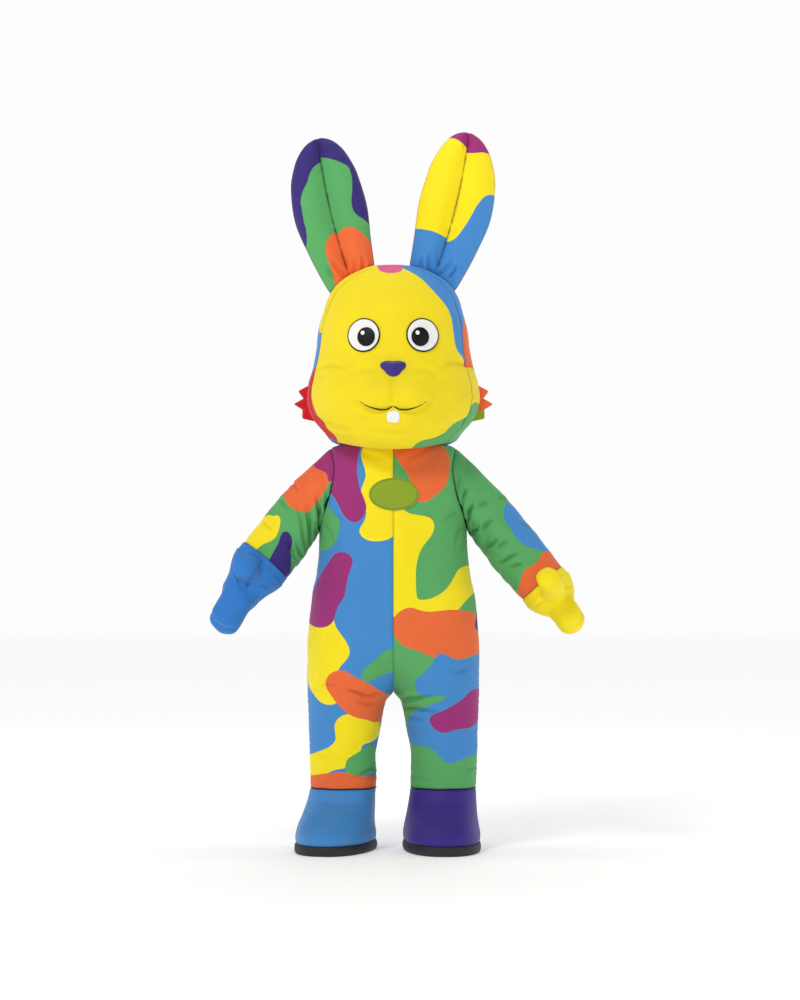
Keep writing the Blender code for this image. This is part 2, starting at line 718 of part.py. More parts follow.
def boot_upper(side_name):
    """Shaft inside the trouser leg, then the boot down to its sole."""
    side = SIDES[side_name]
    hem_height = SUIT_SECTIONS[0][0]
    grids = []
    for inset in (0.0, BOOT_CLOTH):
        rings = []
        for height in (hem_height + BOOT_TUCK, hem_height):
            ring = shaft_ring(side, height, CLOTH + 2 * GAP + inset)
            rings.append(to_frame(ring[:, 0], ring[:, 1], height))
        for height, *_ in BOOT_SECTIONS:
            ring = boot_ring(side, BOOT["half_width"](height) - inset, BOOT["toe"](height) - inset,
                             BOOT["heel"](height) - inset, BOOT["roundness"](height),
                             BOOT_YAW[side_name] * BOOT["turn"](height), BOOT_STEPS)
            middle = side * ankle() + BOOT_SHIFT[side_name] * BOOT["turn"](height)
            rings.append(to_frame(middle + ring[:, 0], ring[:, 1], height))
        grids.append(rings)
    return grids


def boot_sole(side_name):
    """Flat moulded sole with a rounded edge."""
    side = SIDES[side_name]
    rings = []
    for height, inset in (
        (0.0, SOLE_ROUNDING),
        (SOLE_ROUNDING * 0.3, SOLE_ROUNDING * 0.3),
        (SOLE_ROUNDING, 0.0),
        (SOLE_THICKNESS - SOLE_ROUNDING, 0.0),
        (SOLE_THICKNESS, SOLE_ROUNDING * 0.5),
    ):
        ring = boot_ring(side, SOLE_HALF_WIDTH - inset, SOLE_TOE - inset, SOLE_HEEL - inset,
                         SOLE_ROUNDNESS, BOOT_YAW[side_name], BOOT_STEPS)
        rings.append(to_frame(side * ankle() + BOOT_SHIFT[side_name] + ring[:, 0], ring[:, 1], height))
    return rings


# Head

def rim_share(angle):
    """Share along the suit's half section that lies at an angle from the front."""
    return min(1.0, abs(angle) / math.pi)


def head_point(ring, angle):
    """Outside of the head: ring 0 at the neck rim, 16 at the crown; angle 0 at the front, + towards +X."""
    side = 1 if angle >= 0 else -1
    if ring < 1:
        share = rim_share(angle)
        rim = suit_point(RIM_HEIGHT, share) + RIM_LIFT * suit_normal(RIM_HEIGHT, share)
        rim[0] *= side
        first = head_point(1, angle)
        return rim + (first - rim) * ring
    half, front, back = HEAD["half_width"](ring), HEAD["front"](ring), HEAD["back"](ring)
    cosine = math.cos(angle)
    x = half * signed_power(math.sin(angle), 2 / HEAD_ROUNDNESS)
    y = -(front if cosine > 0 else back) * signed_power(cosine, 2 / HEAD_ROUNDNESS)
    far = HEAD["front_height"](ring) if cosine > 0 else HEAD["back_height"](ring)
    height = HEAD["side"](ring) + (far - HEAD["side"](ring)) * cosine * cosine
    return np.array((x, y - face_bump(x, height) * smooth_step(cosine * 2.0), height))


def face_bump(x, height):
    """How far cheeks, muzzle and chin stand forward of the plain head."""
    total = 0.0
    for across, middle, half_width, half_height, forward in FACE_BUMPS:
        for side in ((1, -1) if across else (1,)):
            reach = ((x - side * across) / half_width) ** 2 + ((height - middle) / half_height) ** 2
            total += forward * math.exp(-reach)
    return total


def head_normal(ring, angle):
    step_ring = 0.03
    step_angle = 0.01
    low = max(0.0, ring - step_ring)
    high = min(CROWN_RING, ring + step_ring)
    around = head_point(ring, angle + step_angle) - head_point(ring, angle - step_angle)
    up = head_point(high, angle) - head_point(low, angle)
    normal = np.cross(around, up)
    length = np.linalg.norm(normal)
    if length < 1e-9:
        return np.array((0.0, 0.0, 1.0))
    return normal / length


def face_edge(ring, side_name):
    """Angle from the front at which the face panel ends."""
    ring = max(1.0, ring)
    lower = FACE_SEAM[side_name]
    seam = lower + (FACE_TOP_FRONT - lower) * smooth_step((ring - 8) / 5)
    front = HEAD["front"](ring)
    if front <= seam:
        return 0.0
    return math.acos((seam / front) ** (HEAD_ROUNDNESS / 2))


def face_top_ring():
    low, high = 12.0, float(CROWN_RING)
    for _ in range(40):
        middle = (low + high) / 2
        if HEAD["front"](middle) > FACE_TOP_FRONT:
            low = middle
        else:
            high = middle
    return low


def head_rings():
    """Rings of the head, closer together where the face panel narrows to its top."""
    top = face_top_ring()
    lower = [0.0, 1.0, 2.0, 3.0, 4.0, 4.7, 5.4, 6.1, 6.8, 7.5, 8.3, 9.2, 10.2, 11.2, 12.2, 13.0, 13.6]
    return lower + [top - 0.16, top - 0.03, top]


def shell_row(ring, angles, inset):
    row = []
    for angle in angles:
        point = head_point(ring, angle)
        if inset:
            point = point - inset * head_normal(ring, angle)
        row.append(to_frame(*point))
    return row


def face_angles(ring, slack):
    """Angles of the face panel's columns at one ring."""
    left = face_edge(ring, "left") - slack
    right = face_edge(ring, "right") - slack
    if min(left, right) < 0:
        return np.zeros(2 * FACE_STEPS + 1)
    return np.linspace(-right, left, 2 * FACE_STEPS + 1)


def back_angles(ring, slack):
    """Angles of the other head panel's columns, from the left edge round the back to the right one."""
    left = face_edge(ring, "left") + slack
    right = face_edge(ring, "right") + slack
    angles = np.linspace(left, 2 * math.pi - right, 2 * HEAD_BACK_STEPS + 1)
    return [angle if angle <= math.pi else angle - 2 * math.pi for angle in angles]


def head_panel(back):
    """Outer and inner points of the face, or of the rest of the head."""
    grids = []
    rings = head_rings()
    if back:
        rings = rings + CROWN_RINGS
    for inset in (0.0, HEAD_WALL):
        rows = []
        for ring in rings:
            slack = GAP * 0.75 / max(0.05, HEAD["half_width"](max(1.0, ring)))
            angles = back_angles(ring, slack) if back else face_angles(ring, slack)
            rows.append(shell_row(ring, angles, inset))
        grids.append(rows)
    return grids


def head_cutter(collection):
    """The whole outside of the head, a little larger, that trims what sits on it."""
    rows = []
    for ring in [ring for ring in head_rings() if ring >= 1.0] + CROWN_RINGS:
        angles = [*face_angles(ring, 0.0), *back_angles(ring, 0.0)[1:-1]]
        rows.append(shell_row(ring, angles, -CUTTER_LIFT))
    item = bpy.data.objects.new("head_cutter", closed_tube("head_cutter", rows))
    collection.objects.link(item)
    item.hide_render = True
    item.display_type = "WIRE"
    return item


def surface_of_face(x, height):
    """The face's outside at a place across and a height."""
    low, high = 2.0, float(CROWN_RING) - 0.05
    point = None
    for _ in range(40):
        middle = (low + high) / 2
        half = HEAD["half_width"](middle)
        sine = min(1.0, abs(x) / half) ** (HEAD_ROUNDNESS / 2)
        point = head_point(middle, math.copysign(math.asin(sine), x))
        if point[2] < height:
            low = middle
        else:
            high = middle
    return point


# Small pieces that lie on a surface

def surface_normal(surface, x, height):
    step = 0.002
    across = surface(x + step, height) - surface(x - step, height)
    up = surface(x, height + step) - surface(x, height - step)
    normal = np.cross(across, up)
    return normal / np.linalg.norm(normal)


def pad(name, surface, at, size, shape, lift, thickness, crown, rings, steps):
    """A pad on a surface: a flat underside moved out by lift, and a top crowned towards its middle."""
    outer = []
    inner = []
    for ring in range(rings + 1):
        share = 1 - ring / rings
        outer_row = []
        inner_row = []
        for step in range(steps):
            angle = 2 * math.pi * step / steps
            across, up = shape(angle)
            x = at[0] + size[0] * across * share
            height = at[1] + size[1] * up * share
            point = surface(x, height)
            normal = surface_normal(surface, x, height)
            top = lift + thickness + crown * (1 - share ** 2)
            outer_row.append(to_frame(*(point + top * normal)))
            inner_row.append(to_frame(*(point + lift * normal)))
        outer.append(outer_row)
        inner.append(inner_row)
    return wall(name, outer, inner, True)


def oval(angle):
    return math.cos(angle), math.sin(angle)


def soft_triangle(angle):
    """A rounded triangle with its point down."""
    radius = 1 + 0.16 * math.cos(3 * (angle - math.pi / 2 + math.pi / 3))
    return radius * math.cos(angle), radius * math.sin(angle)


def soft_square(angle):
    return signed_power(math.cos(angle), 0.6), signed_power(math.sin(angle), 0.6)


def placket():
    """A plain strip over the closing of the centre back."""
    heights = [height for height in suit_heights() if PLACKET_BOTTOM <= height <= PLACKET_TOP]
    outer = []
    inner = []
    for height in heights:
        rows = ([], [])
        for x in np.linspace(-PLACKET_HALF_WIDTH, PLACKET_HALF_WIDTH, 3):
            point = surface_of_suit(x, height, back=True)
            normal = surface_normal(lambda a, b: surface_of_suit(a, b, back=True), x, height)
            normal = normal if normal[1] > 0 else -normal
            rows[0].append(to_frame(*(point + (2 * GAP + BADGE_CLOTH) * normal)))
            rows[1].append(to_frame(*(point + 2 * GAP * normal)))
        outer.append(rows[0])
        inner.append(rows[1])
    return wall("back_placket", outer, inner, False)


# Ears and tufts

def ear_place(side_name, along, across, depth):
    """A point of an ear: along from base to tip, across its face, and depth towards the front."""
    ear = EARS[side_name]
    side = SIDES[side_name]
    base = np.array((ear["base"][0], 0.0, ear["base"][1]))
    tip = np.array((ear["tip"][0], EAR_BACK_LEAN, ear["tip"][1]))
    axis = tip - base
    length = np.linalg.norm(axis)
    direction = axis / length
    width = np.array((direction[2], 0.0, -direction[0]))
    front = np.cross(direction, width)
    if front[1] > 0:
        front = -front
    bow = ear["bow"] * 4 * along * (1 - along) * side
    return base + axis * along + width * (across + bow) + front * depth


def ear_front_depth(along, share):
    swell = (1 - abs(share) ** 2.2) ** 0.6
    valley = 1 - EAR_VALLEY * math.exp(-(share / EAR_VALLEY_WIDTH) ** 2) * smooth_step(along / 0.15 + 1.0)
    return EAR_EDGE + EAR["front"](along) * swell * valley


def ear_back_depth(along, share):
    return EAR_EDGE + EAR["back"](along) * (1 - abs(share) ** 2.4) ** 0.6


def ear_alongs():
    return [-0.14, 0.0, *[math.sin(math.pi / 2 * row / (EAR_ROWS - 1)) for row in range(1, EAR_ROWS)]]


def ear_piece(side_name, kind):
    """A stuffed panel of one ear: its inner or outer front half, or its back."""
    side = SIDES[side_name]
    rings = []
    for along in ear_alongs():
        half = EAR["half_width"](along)
        ring = []
        if kind == "back":
            shares = np.linspace(-1, 1, 2 * EAR_STEPS + 1)
            for share in shares:
                ring.append(ear_place(side_name, along, share * half, -ear_back_depth(along, share)))
            for share in (1.0, 0.0, -1.0):
                ring.append(ear_place(side_name, along, share * half, -GAP / 2))
        else:
            sign = side if kind == "outer" else -side
            shares = np.linspace(0, 1, EAR_STEPS + 1)
            for share in shares:
                across = sign * max(GAP / 2, share * half)
                ring.append(ear_place(side_name, along, across, ear_front_depth(along, share)))
            ring.append(ear_place(side_name, along, sign * half, GAP / 2))
            ring.append(ear_place(side_name, along, sign * GAP / 2, GAP / 2))
        ring = np.array(ring)
        rings.append(to_frame(ring[:, 0], ring[:, 1], ring[:, 2]))
    return closed_tube(f"ear_{side_name}_{kind}", rings)


def trim_by(item, cutter):
    trim = item.modifiers.new("seat on head", "BOOLEAN")
    trim.operation = "DIFFERENCE"
    trim.object = cutter
    trim.solver = "EXACT"


def tuft(side_name, material, collection, cutter):
    """A flat stuffed tuft with three points behind a cheek."""
    side = SIDES[side_name]
    curve = bpy.data.curves.new(f"tuft_outline_{side_name}", "CURVE")
    curve.dimensions = "2D"
    curve.fill_mode = "BOTH"
    curve.extrude = TUFT_HALF_THICKNESS - TUFT_ROUNDING
    curve.bevel_depth = TUFT_ROUNDING
    curve.bevel_resolution = 1
    curve.offset = -TUFT_ROUNDING
    line = curve.splines.new("POLY")
    line.points.add(len(TUFT_OUTLINE) - 1)
    line.use_cyclic_u = True
    for point, (across, height) in zip(line.points, TUFT_OUTLINE):
        point.co = (side * across, height - SHOULDER_HEIGHT, 0.0, 1.0)
    holder = bpy.data.objects.new(f"tuft_outline_{side_name}", curve)
    collection.objects.link(holder)
    holder.rotation_euler = (math.pi / 2, 0.0, 0.0)
    holder.location = (0.0, TUFT_DEPTH, 0.0)
    bpy.context.view_layer.update()
    graph = bpy.context.evaluated_depsgraph_get()
    mesh = bpy.data.meshes.new_from_object(holder.evaluated_get(graph))
    mesh.transform(holder.matrix_world)
    shape = bmesh.new()
    shape.from_mesh(mesh)
    bmesh.ops.remove_doubles(shape, verts=shape.verts, dist=0.00005)
    bmesh.ops.recalc_face_normals(shape, faces=shape.faces)
    shape.to_mesh(mesh)
    shape.free()
    bpy.data.objects.remove(holder, do_unlink=True)
    mesh.materials.clear()
    item = add_object(f"cheek_tuft_{side_name}", mesh, material, collection)
    trim_by(item, cutter)
    return item


def build():
    clear_scene()
    parts = new_collection("rabbit_mascot_costume")
    cutters = new_collection("cutters")
    cloth = {name: new_material(name, colour, rough) for name, colour, rough in (
        ("print_cloth", (0.25, 0.42, 0.30), 0.75),
        ("yellow_cloth", (0.89, 0.74, 0.03), 0.75),
        ("blue_cloth", (0.05, 0.22, 0.62), 0.75),
        ("purple_cloth", (0.05, 0.02, 0.19), 0.75),
        ("green_cloth", (0.29, 0.39, 0.03), 0.75),
        ("red_cloth", (0.61, 0.01, 0.02), 0.75),
        ("white_cloth", (0.85, 0.85, 0.83), 0.6),
        ("black_cloth", (0.01, 0.01, 0.013), 0.6),
        ("black_rubber", (0.012, 0.012, 0.015), 0.5),
    )}
    for side_name, side in SIDES.items():
        for face, back in (("front", False), ("back", True)):
            name = f"suit_{face}_{side_name}"
            outer, inner = suit_panel(side, back)
            add_object(name, wall(name, outer, inner, False), cloth["print_cloth"], parts)
        name = f"sleeve_{side_name}"
        outer, inner = sleeve(side_name, SLEEVE_ROWS, 2 * ARMHOLE_STEPS)
        add_object(name, wall(name, outer, inner, True), cloth["print_cloth"], parts)
        name = f"glove_{side_name}"
        outer, inner = glove(side_name, HAND_ROWS, HAND_CAP_ROWS, 2 * ARMHOLE_STEPS)
        colour = "yellow_cloth" if side_name == "left" else "blue_cloth"
        add_object(name, wall(name, outer, inner, True), cloth[colour], parts)
        name = f"boot_{side_name}"
        outer, inner = boot_upper(side_name)
        colour = "purple_cloth" if side_name == "left" else "blue_cloth"
        add_object(name, wall(name, outer, inner, True), cloth[colour], parts)
        name = f"sole_{side_name}"
        add_object(name, closed_tube(name, boot_sole(side_name)), cloth["black_rubber"], parts)
    add_object("back_placket", placket(), cloth["print_cloth"], parts)
    badge = pad("chest_badge", surface_of_suit, BADGE["at"], BADGE["size"], oval,
                2 * GAP, BADGE_CLOTH, BADGE_CROWN, 2, 24)
    add_object("chest_badge", badge, cloth["green_cloth"], parts)
    for name, back in (("head_face", False), ("head_back", True)):
        outer, inner = head_panel(back)
        colour = "print_cloth" if back else "yellow_cloth"
        add_object(name, wall(name, outer, inner, False), cloth[colour], parts)
    cutter = head_cutter(cutters)
    for side_name in SIDES:
        for kind in ("inner", "outer", "back"):
            name = f"ear_{side_name}_{kind}"
            item = add_object(name, ear_piece(side_name, kind), cloth["print_cloth"], parts)
            trim_by(item, cutter)
        colour = "green_cloth" if side_name == "left" else "red_cloth"
        tuft(side_name, cloth[colour], parts, cutter)
        side = SIDES[side_name]
        eye_spot = (side * EYE["at"][0], EYE["at"][1])
        name = f"eye_{side_name}"
        mesh = pad(name, surface_of_face, eye_spot, EYE["size"], oval,
                   -PAD_ROOT, PAD_ROOT + EYE_THICKNESS, 0.0, 2, 18)
        trim_by(add_object(name, mesh, cloth["white_cloth"], parts), cutter)
        pupil_spot = (side * PUPIL["at"][0], PUPIL["at"][1])
        name = f"pupil_{side_name}"
        lift = EYE_THICKNESS + 2 * GAP
        mesh = pad(name, surface_of_face, pupil_spot, PUPIL["size"], oval, lift, BADGE_CLOTH, 0.002, 2, 16)
        add_object(name, mesh, cloth["black_cloth"], parts)
    nose = pad("nose", surface_of_face, NOSE["at"], NOSE["size"], soft_triangle,
               -2 * PAD_ROOT, 2 * PAD_ROOT + NOSE_THICKNESS, 0.012, 3, 18)
    trim_by(add_object("nose", nose, cloth["purple_cloth"], parts), cutter)
    teeth = pad("teeth", surface_of_face, TEETH["at"], TEETH["size"], soft_square,
                -PAD_ROOT, PAD_ROOT + EYE_THICKNESS, 0.001, 1, 16)
    trim_by(add_object("teeth", teeth, cloth["white_cloth"], parts), cutter)


build()
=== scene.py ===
"""Rabbit mascot costume, dressed: printed puffed cloth on the suit, head, ears, gloves and boots."""

import math

import bmesh
import bpy
import numpy as np
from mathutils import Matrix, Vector


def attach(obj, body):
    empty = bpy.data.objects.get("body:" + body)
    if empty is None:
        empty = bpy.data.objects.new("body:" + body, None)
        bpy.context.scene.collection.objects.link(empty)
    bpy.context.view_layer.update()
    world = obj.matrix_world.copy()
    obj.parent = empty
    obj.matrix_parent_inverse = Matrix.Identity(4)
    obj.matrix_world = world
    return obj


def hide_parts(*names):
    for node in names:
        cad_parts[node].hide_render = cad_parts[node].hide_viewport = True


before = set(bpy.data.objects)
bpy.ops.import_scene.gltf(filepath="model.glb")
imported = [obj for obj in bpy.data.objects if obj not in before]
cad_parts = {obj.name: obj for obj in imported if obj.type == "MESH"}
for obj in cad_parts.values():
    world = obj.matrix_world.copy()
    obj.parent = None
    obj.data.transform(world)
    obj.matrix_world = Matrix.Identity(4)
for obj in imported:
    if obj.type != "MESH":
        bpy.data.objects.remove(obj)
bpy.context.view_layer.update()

# Sizes and tables of the costume in metres, heights from the floor. Across, + is the wearer's left.
SHOULDER_HEIGHT = 1.27
GAP = 0.0003
WELD_DISTANCE = 0.00003
CLOTH = 0.003
GLOVE_CLOTH = 0.0026
BOOT_CLOTH = 0.004
HEAD_WALL = 0.008
THIN_PAD = 0.002
SIDES = {"left": 1, "right": -1}
MILLI = 1000.0              # prints and creases are in millimetres, or in thousandths of a length

CROTCH_HEIGHT = 0.492
LEG_JOIN_HEIGHT = 0.68
JOIN_EASE = 1.35
SUIT_COLUMNS = ("height", "outer", "inner", "front", "back", "roundness")
SUIT_SECTIONS = (
    (0.194, 0.257, 0.053, 0.103, 0.106, 2.1), (0.287, 0.2605, 0.055, 0.108, 0.11, 2.1),
    (0.367, 0.2625, 0.0415, 0.118, 0.122, 2.1), (0.46, 0.266, 0.023, 0.136, 0.142, 2.15),
    (0.492, 0.267, 0.0, 0.147, 0.155, 2.2), (0.62, 0.2665, 0.0, 0.19, 0.198, 2.3),
    (0.716, 0.26, 0.0, 0.21, 0.198, 2.35), (0.8, 0.251, 0.0, 0.214, 0.19, 2.35),
    (0.847, 0.24, 0.0, 0.212, 0.182, 2.35), (0.912, 0.232, 0.0, 0.205, 0.174, 2.35),
    (0.995, 0.228, 0.0, 0.193, 0.166, 2.4), (1.05, 0.234, 0.0, 0.184, 0.161, 2.4),
    (1.121, 0.233, 0.0, 0.172, 0.155, 2.4), (1.18, 0.223, 0.0, 0.155, 0.146, 2.35),
    (1.2475, 0.192, 0.0, 0.125, 0.126, 2.25), (1.262, 0.15, 0.0, 0.108, 0.112, 2.15),
    (1.275, 0.115, 0.0, 0.096, 0.1, 2.05), (1.29, 0.093, 0.0, 0.086, 0.088, 2.0),
    (1.315, 0.085, 0.0, 0.082, 0.083, 2.0),
)
HEM = SUIT_SECTIONS[0][0]
ARMHOLE_BOTTOM = 0.995
ARMHOLE_TOP = 1.2475
ARMHOLE_MIDDLE = (ARMHOLE_TOP + ARMHOLE_BOTTOM) / 2
ARMHOLE_HALF_HEIGHT = (ARMHOLE_TOP - ARMHOLE_BOTTOM) / 2
ARMHOLE_HALF_DEPTH = 0.115
SLEEVE_TUCK = 0.025
SLEEVE_BOW = 0.015
SLEEVE_SAG = 0.009
SLEEVE_CREASES = (          # large folds: place along the arm, depth, width, skew, and the side they lie on
    (0.1, 0.05, 0.045, 0.05, 2.4), (0.25, 0.045, 0.05, 0.09, 1.9), (0.43, 0.05, 0.055, -0.06, 2.2),
    (0.62, 0.045, 0.05, 0.08, 1.7), (0.8, 0.05, 0.05, -0.05, 2.0),
)
ARMS = {
    "left": {
        "wrist": (0.462, 0.826), "radius": 0.0780, "knuckle": (0.501, 0.778), "tip": (0.5480, 0.713),
        "palm": 0.054, "thumb": (0.474, 0.833), "lean": 24.0, "flatten": 1.36,
    },
    "right": {
        "wrist": (-0.397, 0.898), "radius": 0.0845, "knuckle": (-0.470, 0.800), "tip": (-0.5205, 0.714),
        "palm": 0.061, "thumb": (-0.450, 0.876), "lean": 9.0, "flatten": 1.52,
    },
}
HAND_FORWARD = 0.030
KNUCKLE_FORWARD = 0.004
TIP_FORWARD = 0.008
# a finger's shift in depth, its reach past the tip and its radius
FINGERS = ((-0.040, -0.012, 0.0335), (0.0, 0.008, 0.0340), (0.038, 0.014, 0.0320))
PALM_START = 0.97
THUMB_RADIUS = 0.041
THUMB_ROOT = 0.058
THUMB_FORWARD = 0.122
THUMB_SPAN = (19.0, 11.0)   # degrees to each side of the thumb, and over how many of them the rays even out
THUMB_ROWS = 0.28           # the share of the rays that go up the thumb
HAND_BLEND = 0.016
FINGER_BLEND = 0.006
THUMB_BLEND = 0.006

BOOT_TUCK = 0.030
BOOT_YAW = {"left": 3.0, "right": -11.0}
BOOT_SHIFT = {"left": -0.006, "right": -0.018}
BOOT_COLUMNS = ("height", "half_width", "toe", "heel", "roundness", "turn")
BOOT_SECTIONS = (
    (0.186, 0.1025, 0.107, 0.107, 2.1, 0.15), (0.15, 0.106, 0.126, 0.109, 2.15, 0.4),
    (0.112, 0.11, 0.17, 0.113, 2.2, 0.75), (0.078, 0.115, 0.213, 0.117, 2.25, 1.0),
    (0.052, 0.118, 0.232, 0.12, 2.3, 1.0), (0.0303, 0.1175, 0.236, 0.12, 2.3, 1.0),
)
SOLE_HALF_WIDTH = 0.1210
SOLE_TOE = 0.2430
SOLE_HEEL = 0.1260
SOLE_THICKNESS = 0.030
SOLE_ROUNDNESS = 2.35

HEAD_COLUMNS = ("ring", "side", "front_height", "back_height", "half_width", "front", "back")
HEAD_SECTIONS = (
    (1, 1.2605, 1.244, 1.257, 0.172, 0.158, 0.146), (2, 1.268, 1.229, 1.262, 0.192, 0.205, 0.176),
    (3, 1.294, 1.242, 1.285, 0.214, 0.236, 0.198), (4, 1.327, 1.278, 1.322, 0.243, 0.254, 0.214),
    (5, 1.362, 1.33, 1.36, 0.262, 0.262, 0.226), (6, 1.4, 1.386, 1.4, 0.269, 0.262, 0.234),
    (7, 1.444, 1.44, 1.444, 0.264, 0.257, 0.24), (8, 1.495, 1.495, 1.495, 0.25, 0.251, 0.243),
    (9, 1.55, 1.55, 1.55, 0.24, 0.245, 0.243), (10, 1.608, 1.608, 1.608, 0.234, 0.235, 0.238),
    (11, 1.665, 1.665, 1.665, 0.219, 0.214, 0.222), (12, 1.718, 1.718, 1.718, 0.201, 0.183, 0.195),
    (13, 1.76, 1.76, 1.76, 0.169, 0.148, 0.161), (14, 1.79, 1.79, 1.79, 0.124, 0.11, 0.121),
    (15, 1.809, 1.809, 1.809, 0.074, 0.065, 0.072), (16, 1.816, 1.816, 1.816, 0.0, 0.0, 0.0),
)
HEAD_ROUNDNESS = 2.15
RIM_HEIGHT = 1.262
RIM_LIFT = 0.0010
CROWN_RING = 16.0
FACE_TOP_FRONT = 0.090
FACE_SEAM = {"left": 0.125, "right": 0.088}
FACE_BUMPS = (              # cheek, muzzle and chin: across, height, half width, half height, how far forward
    (0.165, 1.392, 0.085, 0.075, 0.026),
    (0.052, 1.392, 0.060, 0.055, 0.046),
    (0.000, 1.305, 0.085, 0.050, 0.014),
)

EAR_COLUMNS = ("along", "half_width", "front", "back")
EAR_SECTIONS = (
    (-0.16, 0.062, 0.031, 0.031), (0.0, 0.08, 0.037, 0.037), (0.25, 0.101, 0.045, 0.045),
    (0.5, 0.116, 0.049, 0.048), (0.7, 0.108, 0.045, 0.043), (0.86, 0.084, 0.037, 0.034),
    (0.95, 0.056, 0.027, 0.025), (0.985, 0.034, 0.018, 0.017), (1.0, 0.016, 0.01, 0.01),
)
EARS = {
    "left": {"base": (0.1225, 1.7685), "tip": (0.235, 2.231), "bow": 0.015},
    "right": {"base": (-0.1320, 1.7670), "tip": (-0.236, 2.213), "bow": 0.013},
}
EAR_VALLEY = 0.55
EAR_VALLEY_WIDTH = 0.30
EAR_EDGE = 0.004
EAR_BACK_LEAN = 0.020
BADGE = {"at": (0.002, 1.095), "size": (0.0755, 0.0500)}
NOSE = {"at": (0.0, 1.470), "size": (0.036, 0.024)}
EYE = {"at": (0.088, 1.572), "size": (0.047, 0.050)}
PUPIL = {"at": (0.080, 1.566), "size": (0.026, 0.029)}
TEETH = {"at": (0.0, 1.322), "size": (0.019, 0.017)}
EYE_THICKNESS = 0.004
NOSE_THICKNESS = 0.006
PLACKET_HALF_WIDTH = 0.020
PLACKET_BOTTOM = 0.70
PLACKET_TOP = 1.255
TUFT_OUTLINE = (
    (0.245, 1.452), (0.298, 1.424), (0.279, 1.402), (0.311, 1.384),
    (0.283, 1.367), (0.284, 1.339), (0.235, 1.328),
)
TUFT_CENTRE = np.array((0.262, 1.390))
TUFT_HALF_THICKNESS = 0.013
TUFT_DEPTH = -0.010
STITCH_INSET = 0.0048
BADGE_STITCH_INSET = 0.0045
BAND_COLUMNS = 200
NO_SEAM = 0.2               # further from a seam than anything that a seam does to the cloth


def monotone_curve(places, values):
    """A smooth curve through the values that never overshoots them."""
    places = np.array(places, float)
    values = np.array(values, float)
    rises = np.diff(values) / np.diff(places)
    slopes = np.zeros(len(places))
    slopes[0] = rises[0]
    slopes[-1] = rises[-1]
    for index in range(1, len(places) - 1):
        before, after = rises[index - 1], rises[index]
        if before * after > 0:
            slopes[index] = 2 * before * after / (before + after)

    def curve(at):
        at = np.clip(at, places[0], places[-1])
        cell = np.clip(np.searchsorted(places, at, side="right") - 1, 0, len(places) - 2)
        step = places[cell + 1] - places[cell]
        part = (at - places[cell]) / step
        start = (1 + 2 * part) * (1 - part) ** 2 * values[cell]
        finish = part ** 2 * (3 - 2 * part) * values[cell + 1]
        bend = part * (1 - part) ** 2 * slopes[cell] - part ** 2 * (1 - part) * slopes[cell + 1]
        return start + finish + step * bend

    return curve


def profile(columns, rows):
    places = [row[0] for row in rows]
    return {name: monotone_curve(places, [row[index] for row in rows]) for index, name in enumerate(columns)}


def signed_power(value, power):
    return np.sign(value) * np.abs(value) ** power


def smooth_step(value):
    value = np.clip(value, 0.0, 1.0)
    return value * value * (3 - 2 * value)


SUIT = profile(SUIT_COLUMNS, SUIT_SECTIONS)
BOOT = profile(BOOT_COLUMNS, BOOT_SECTIONS[::-1])
HEAD = profile(HEAD_COLUMNS, HEAD_SECTIONS)
EAR = profile(EAR_COLUMNS, EAR_SECTIONS)


def graded(count, edges=(0.003, 0.007, 0.012, 0.019, 0.030)):
    """Shares from 0 to 1, closer together near both ends."""
    edges = np.array(edges)
    middle = np.linspace(edges[-1] * 1.5, 1 - edges[-1] * 1.5, count)
    return np.concatenate([[0.0], edges, middle, 1 - edges[::-1], [1.0]])


def unit(vectors):
    return vectors / np.maximum(np.linalg.norm(vectors, axis=-1, keepdims=True), 1e-12)


def grid_normals(grid):
    """Unit normals of a grid of points, rows of closed rings."""
    around = np.roll(grid, -1, axis=1) - np.roll(grid, 1, axis=1)
    along = np.gradient(grid, axis=0)
    return unit(np.cross(around, along))


def distance_along(grid, axis, from_end=False):
    """How far each point of a grid lies from its first (or last) row or column, along the surface."""
    if from_end:
        return np.flip(distance_along(np.flip(grid, axis), axis), axis)
    steps = np.linalg.norm(np.diff(grid, axis=axis), axis=-1)
    total = np.cumsum(steps, axis=axis)
    shape = list(total.shape)
    shape[axis] = 1
    return np.concatenate([np.zeros(shape), total], axis=axis)


def waves(points, size, seed):
    """Smooth uneven values between about -1 and 1, with swells of a given size."""
    turn = np.random.default_rng(seed)
    total = np.zeros(points.shape[:-1])
    for _ in range(7):
        direction = turn.normal(size=3)
        direction /= np.linalg.norm(direction)
        swells = 2 * math.pi / (size * turn.uniform(0.7, 1.5))
        total += np.sin(points @ direction * swells + turn.uniform(0, 6.3))
    return total / 3.2


def beside(points, start, end):
    """How far along a rod each point lies, 0 to 1, and its offset from the rod."""
    axis = end - start
    part = np.clip(((points - start) @ axis) / axis.dot(axis), 0.0, 1.0)
    return part, points - start - part[..., None] * axis


def crease_lines(rows, units, line_of, steps_each=5):
    """Lines of creases from rows of depth and width in millimetres, then pairs of places in given units."""
    lines = []
    for depth, width, *places in rows:
        spots = np.reshape(places, (-1, 2)) / units
        steps = np.linspace(0, len(spots) - 1, steps_each * len(spots))
        first, second = (np.interp(steps, range(len(spots)), values) for values in spots.T)
        lines.append((line_of(first, second), depth / MILLI, width / MILLI))
    return lines


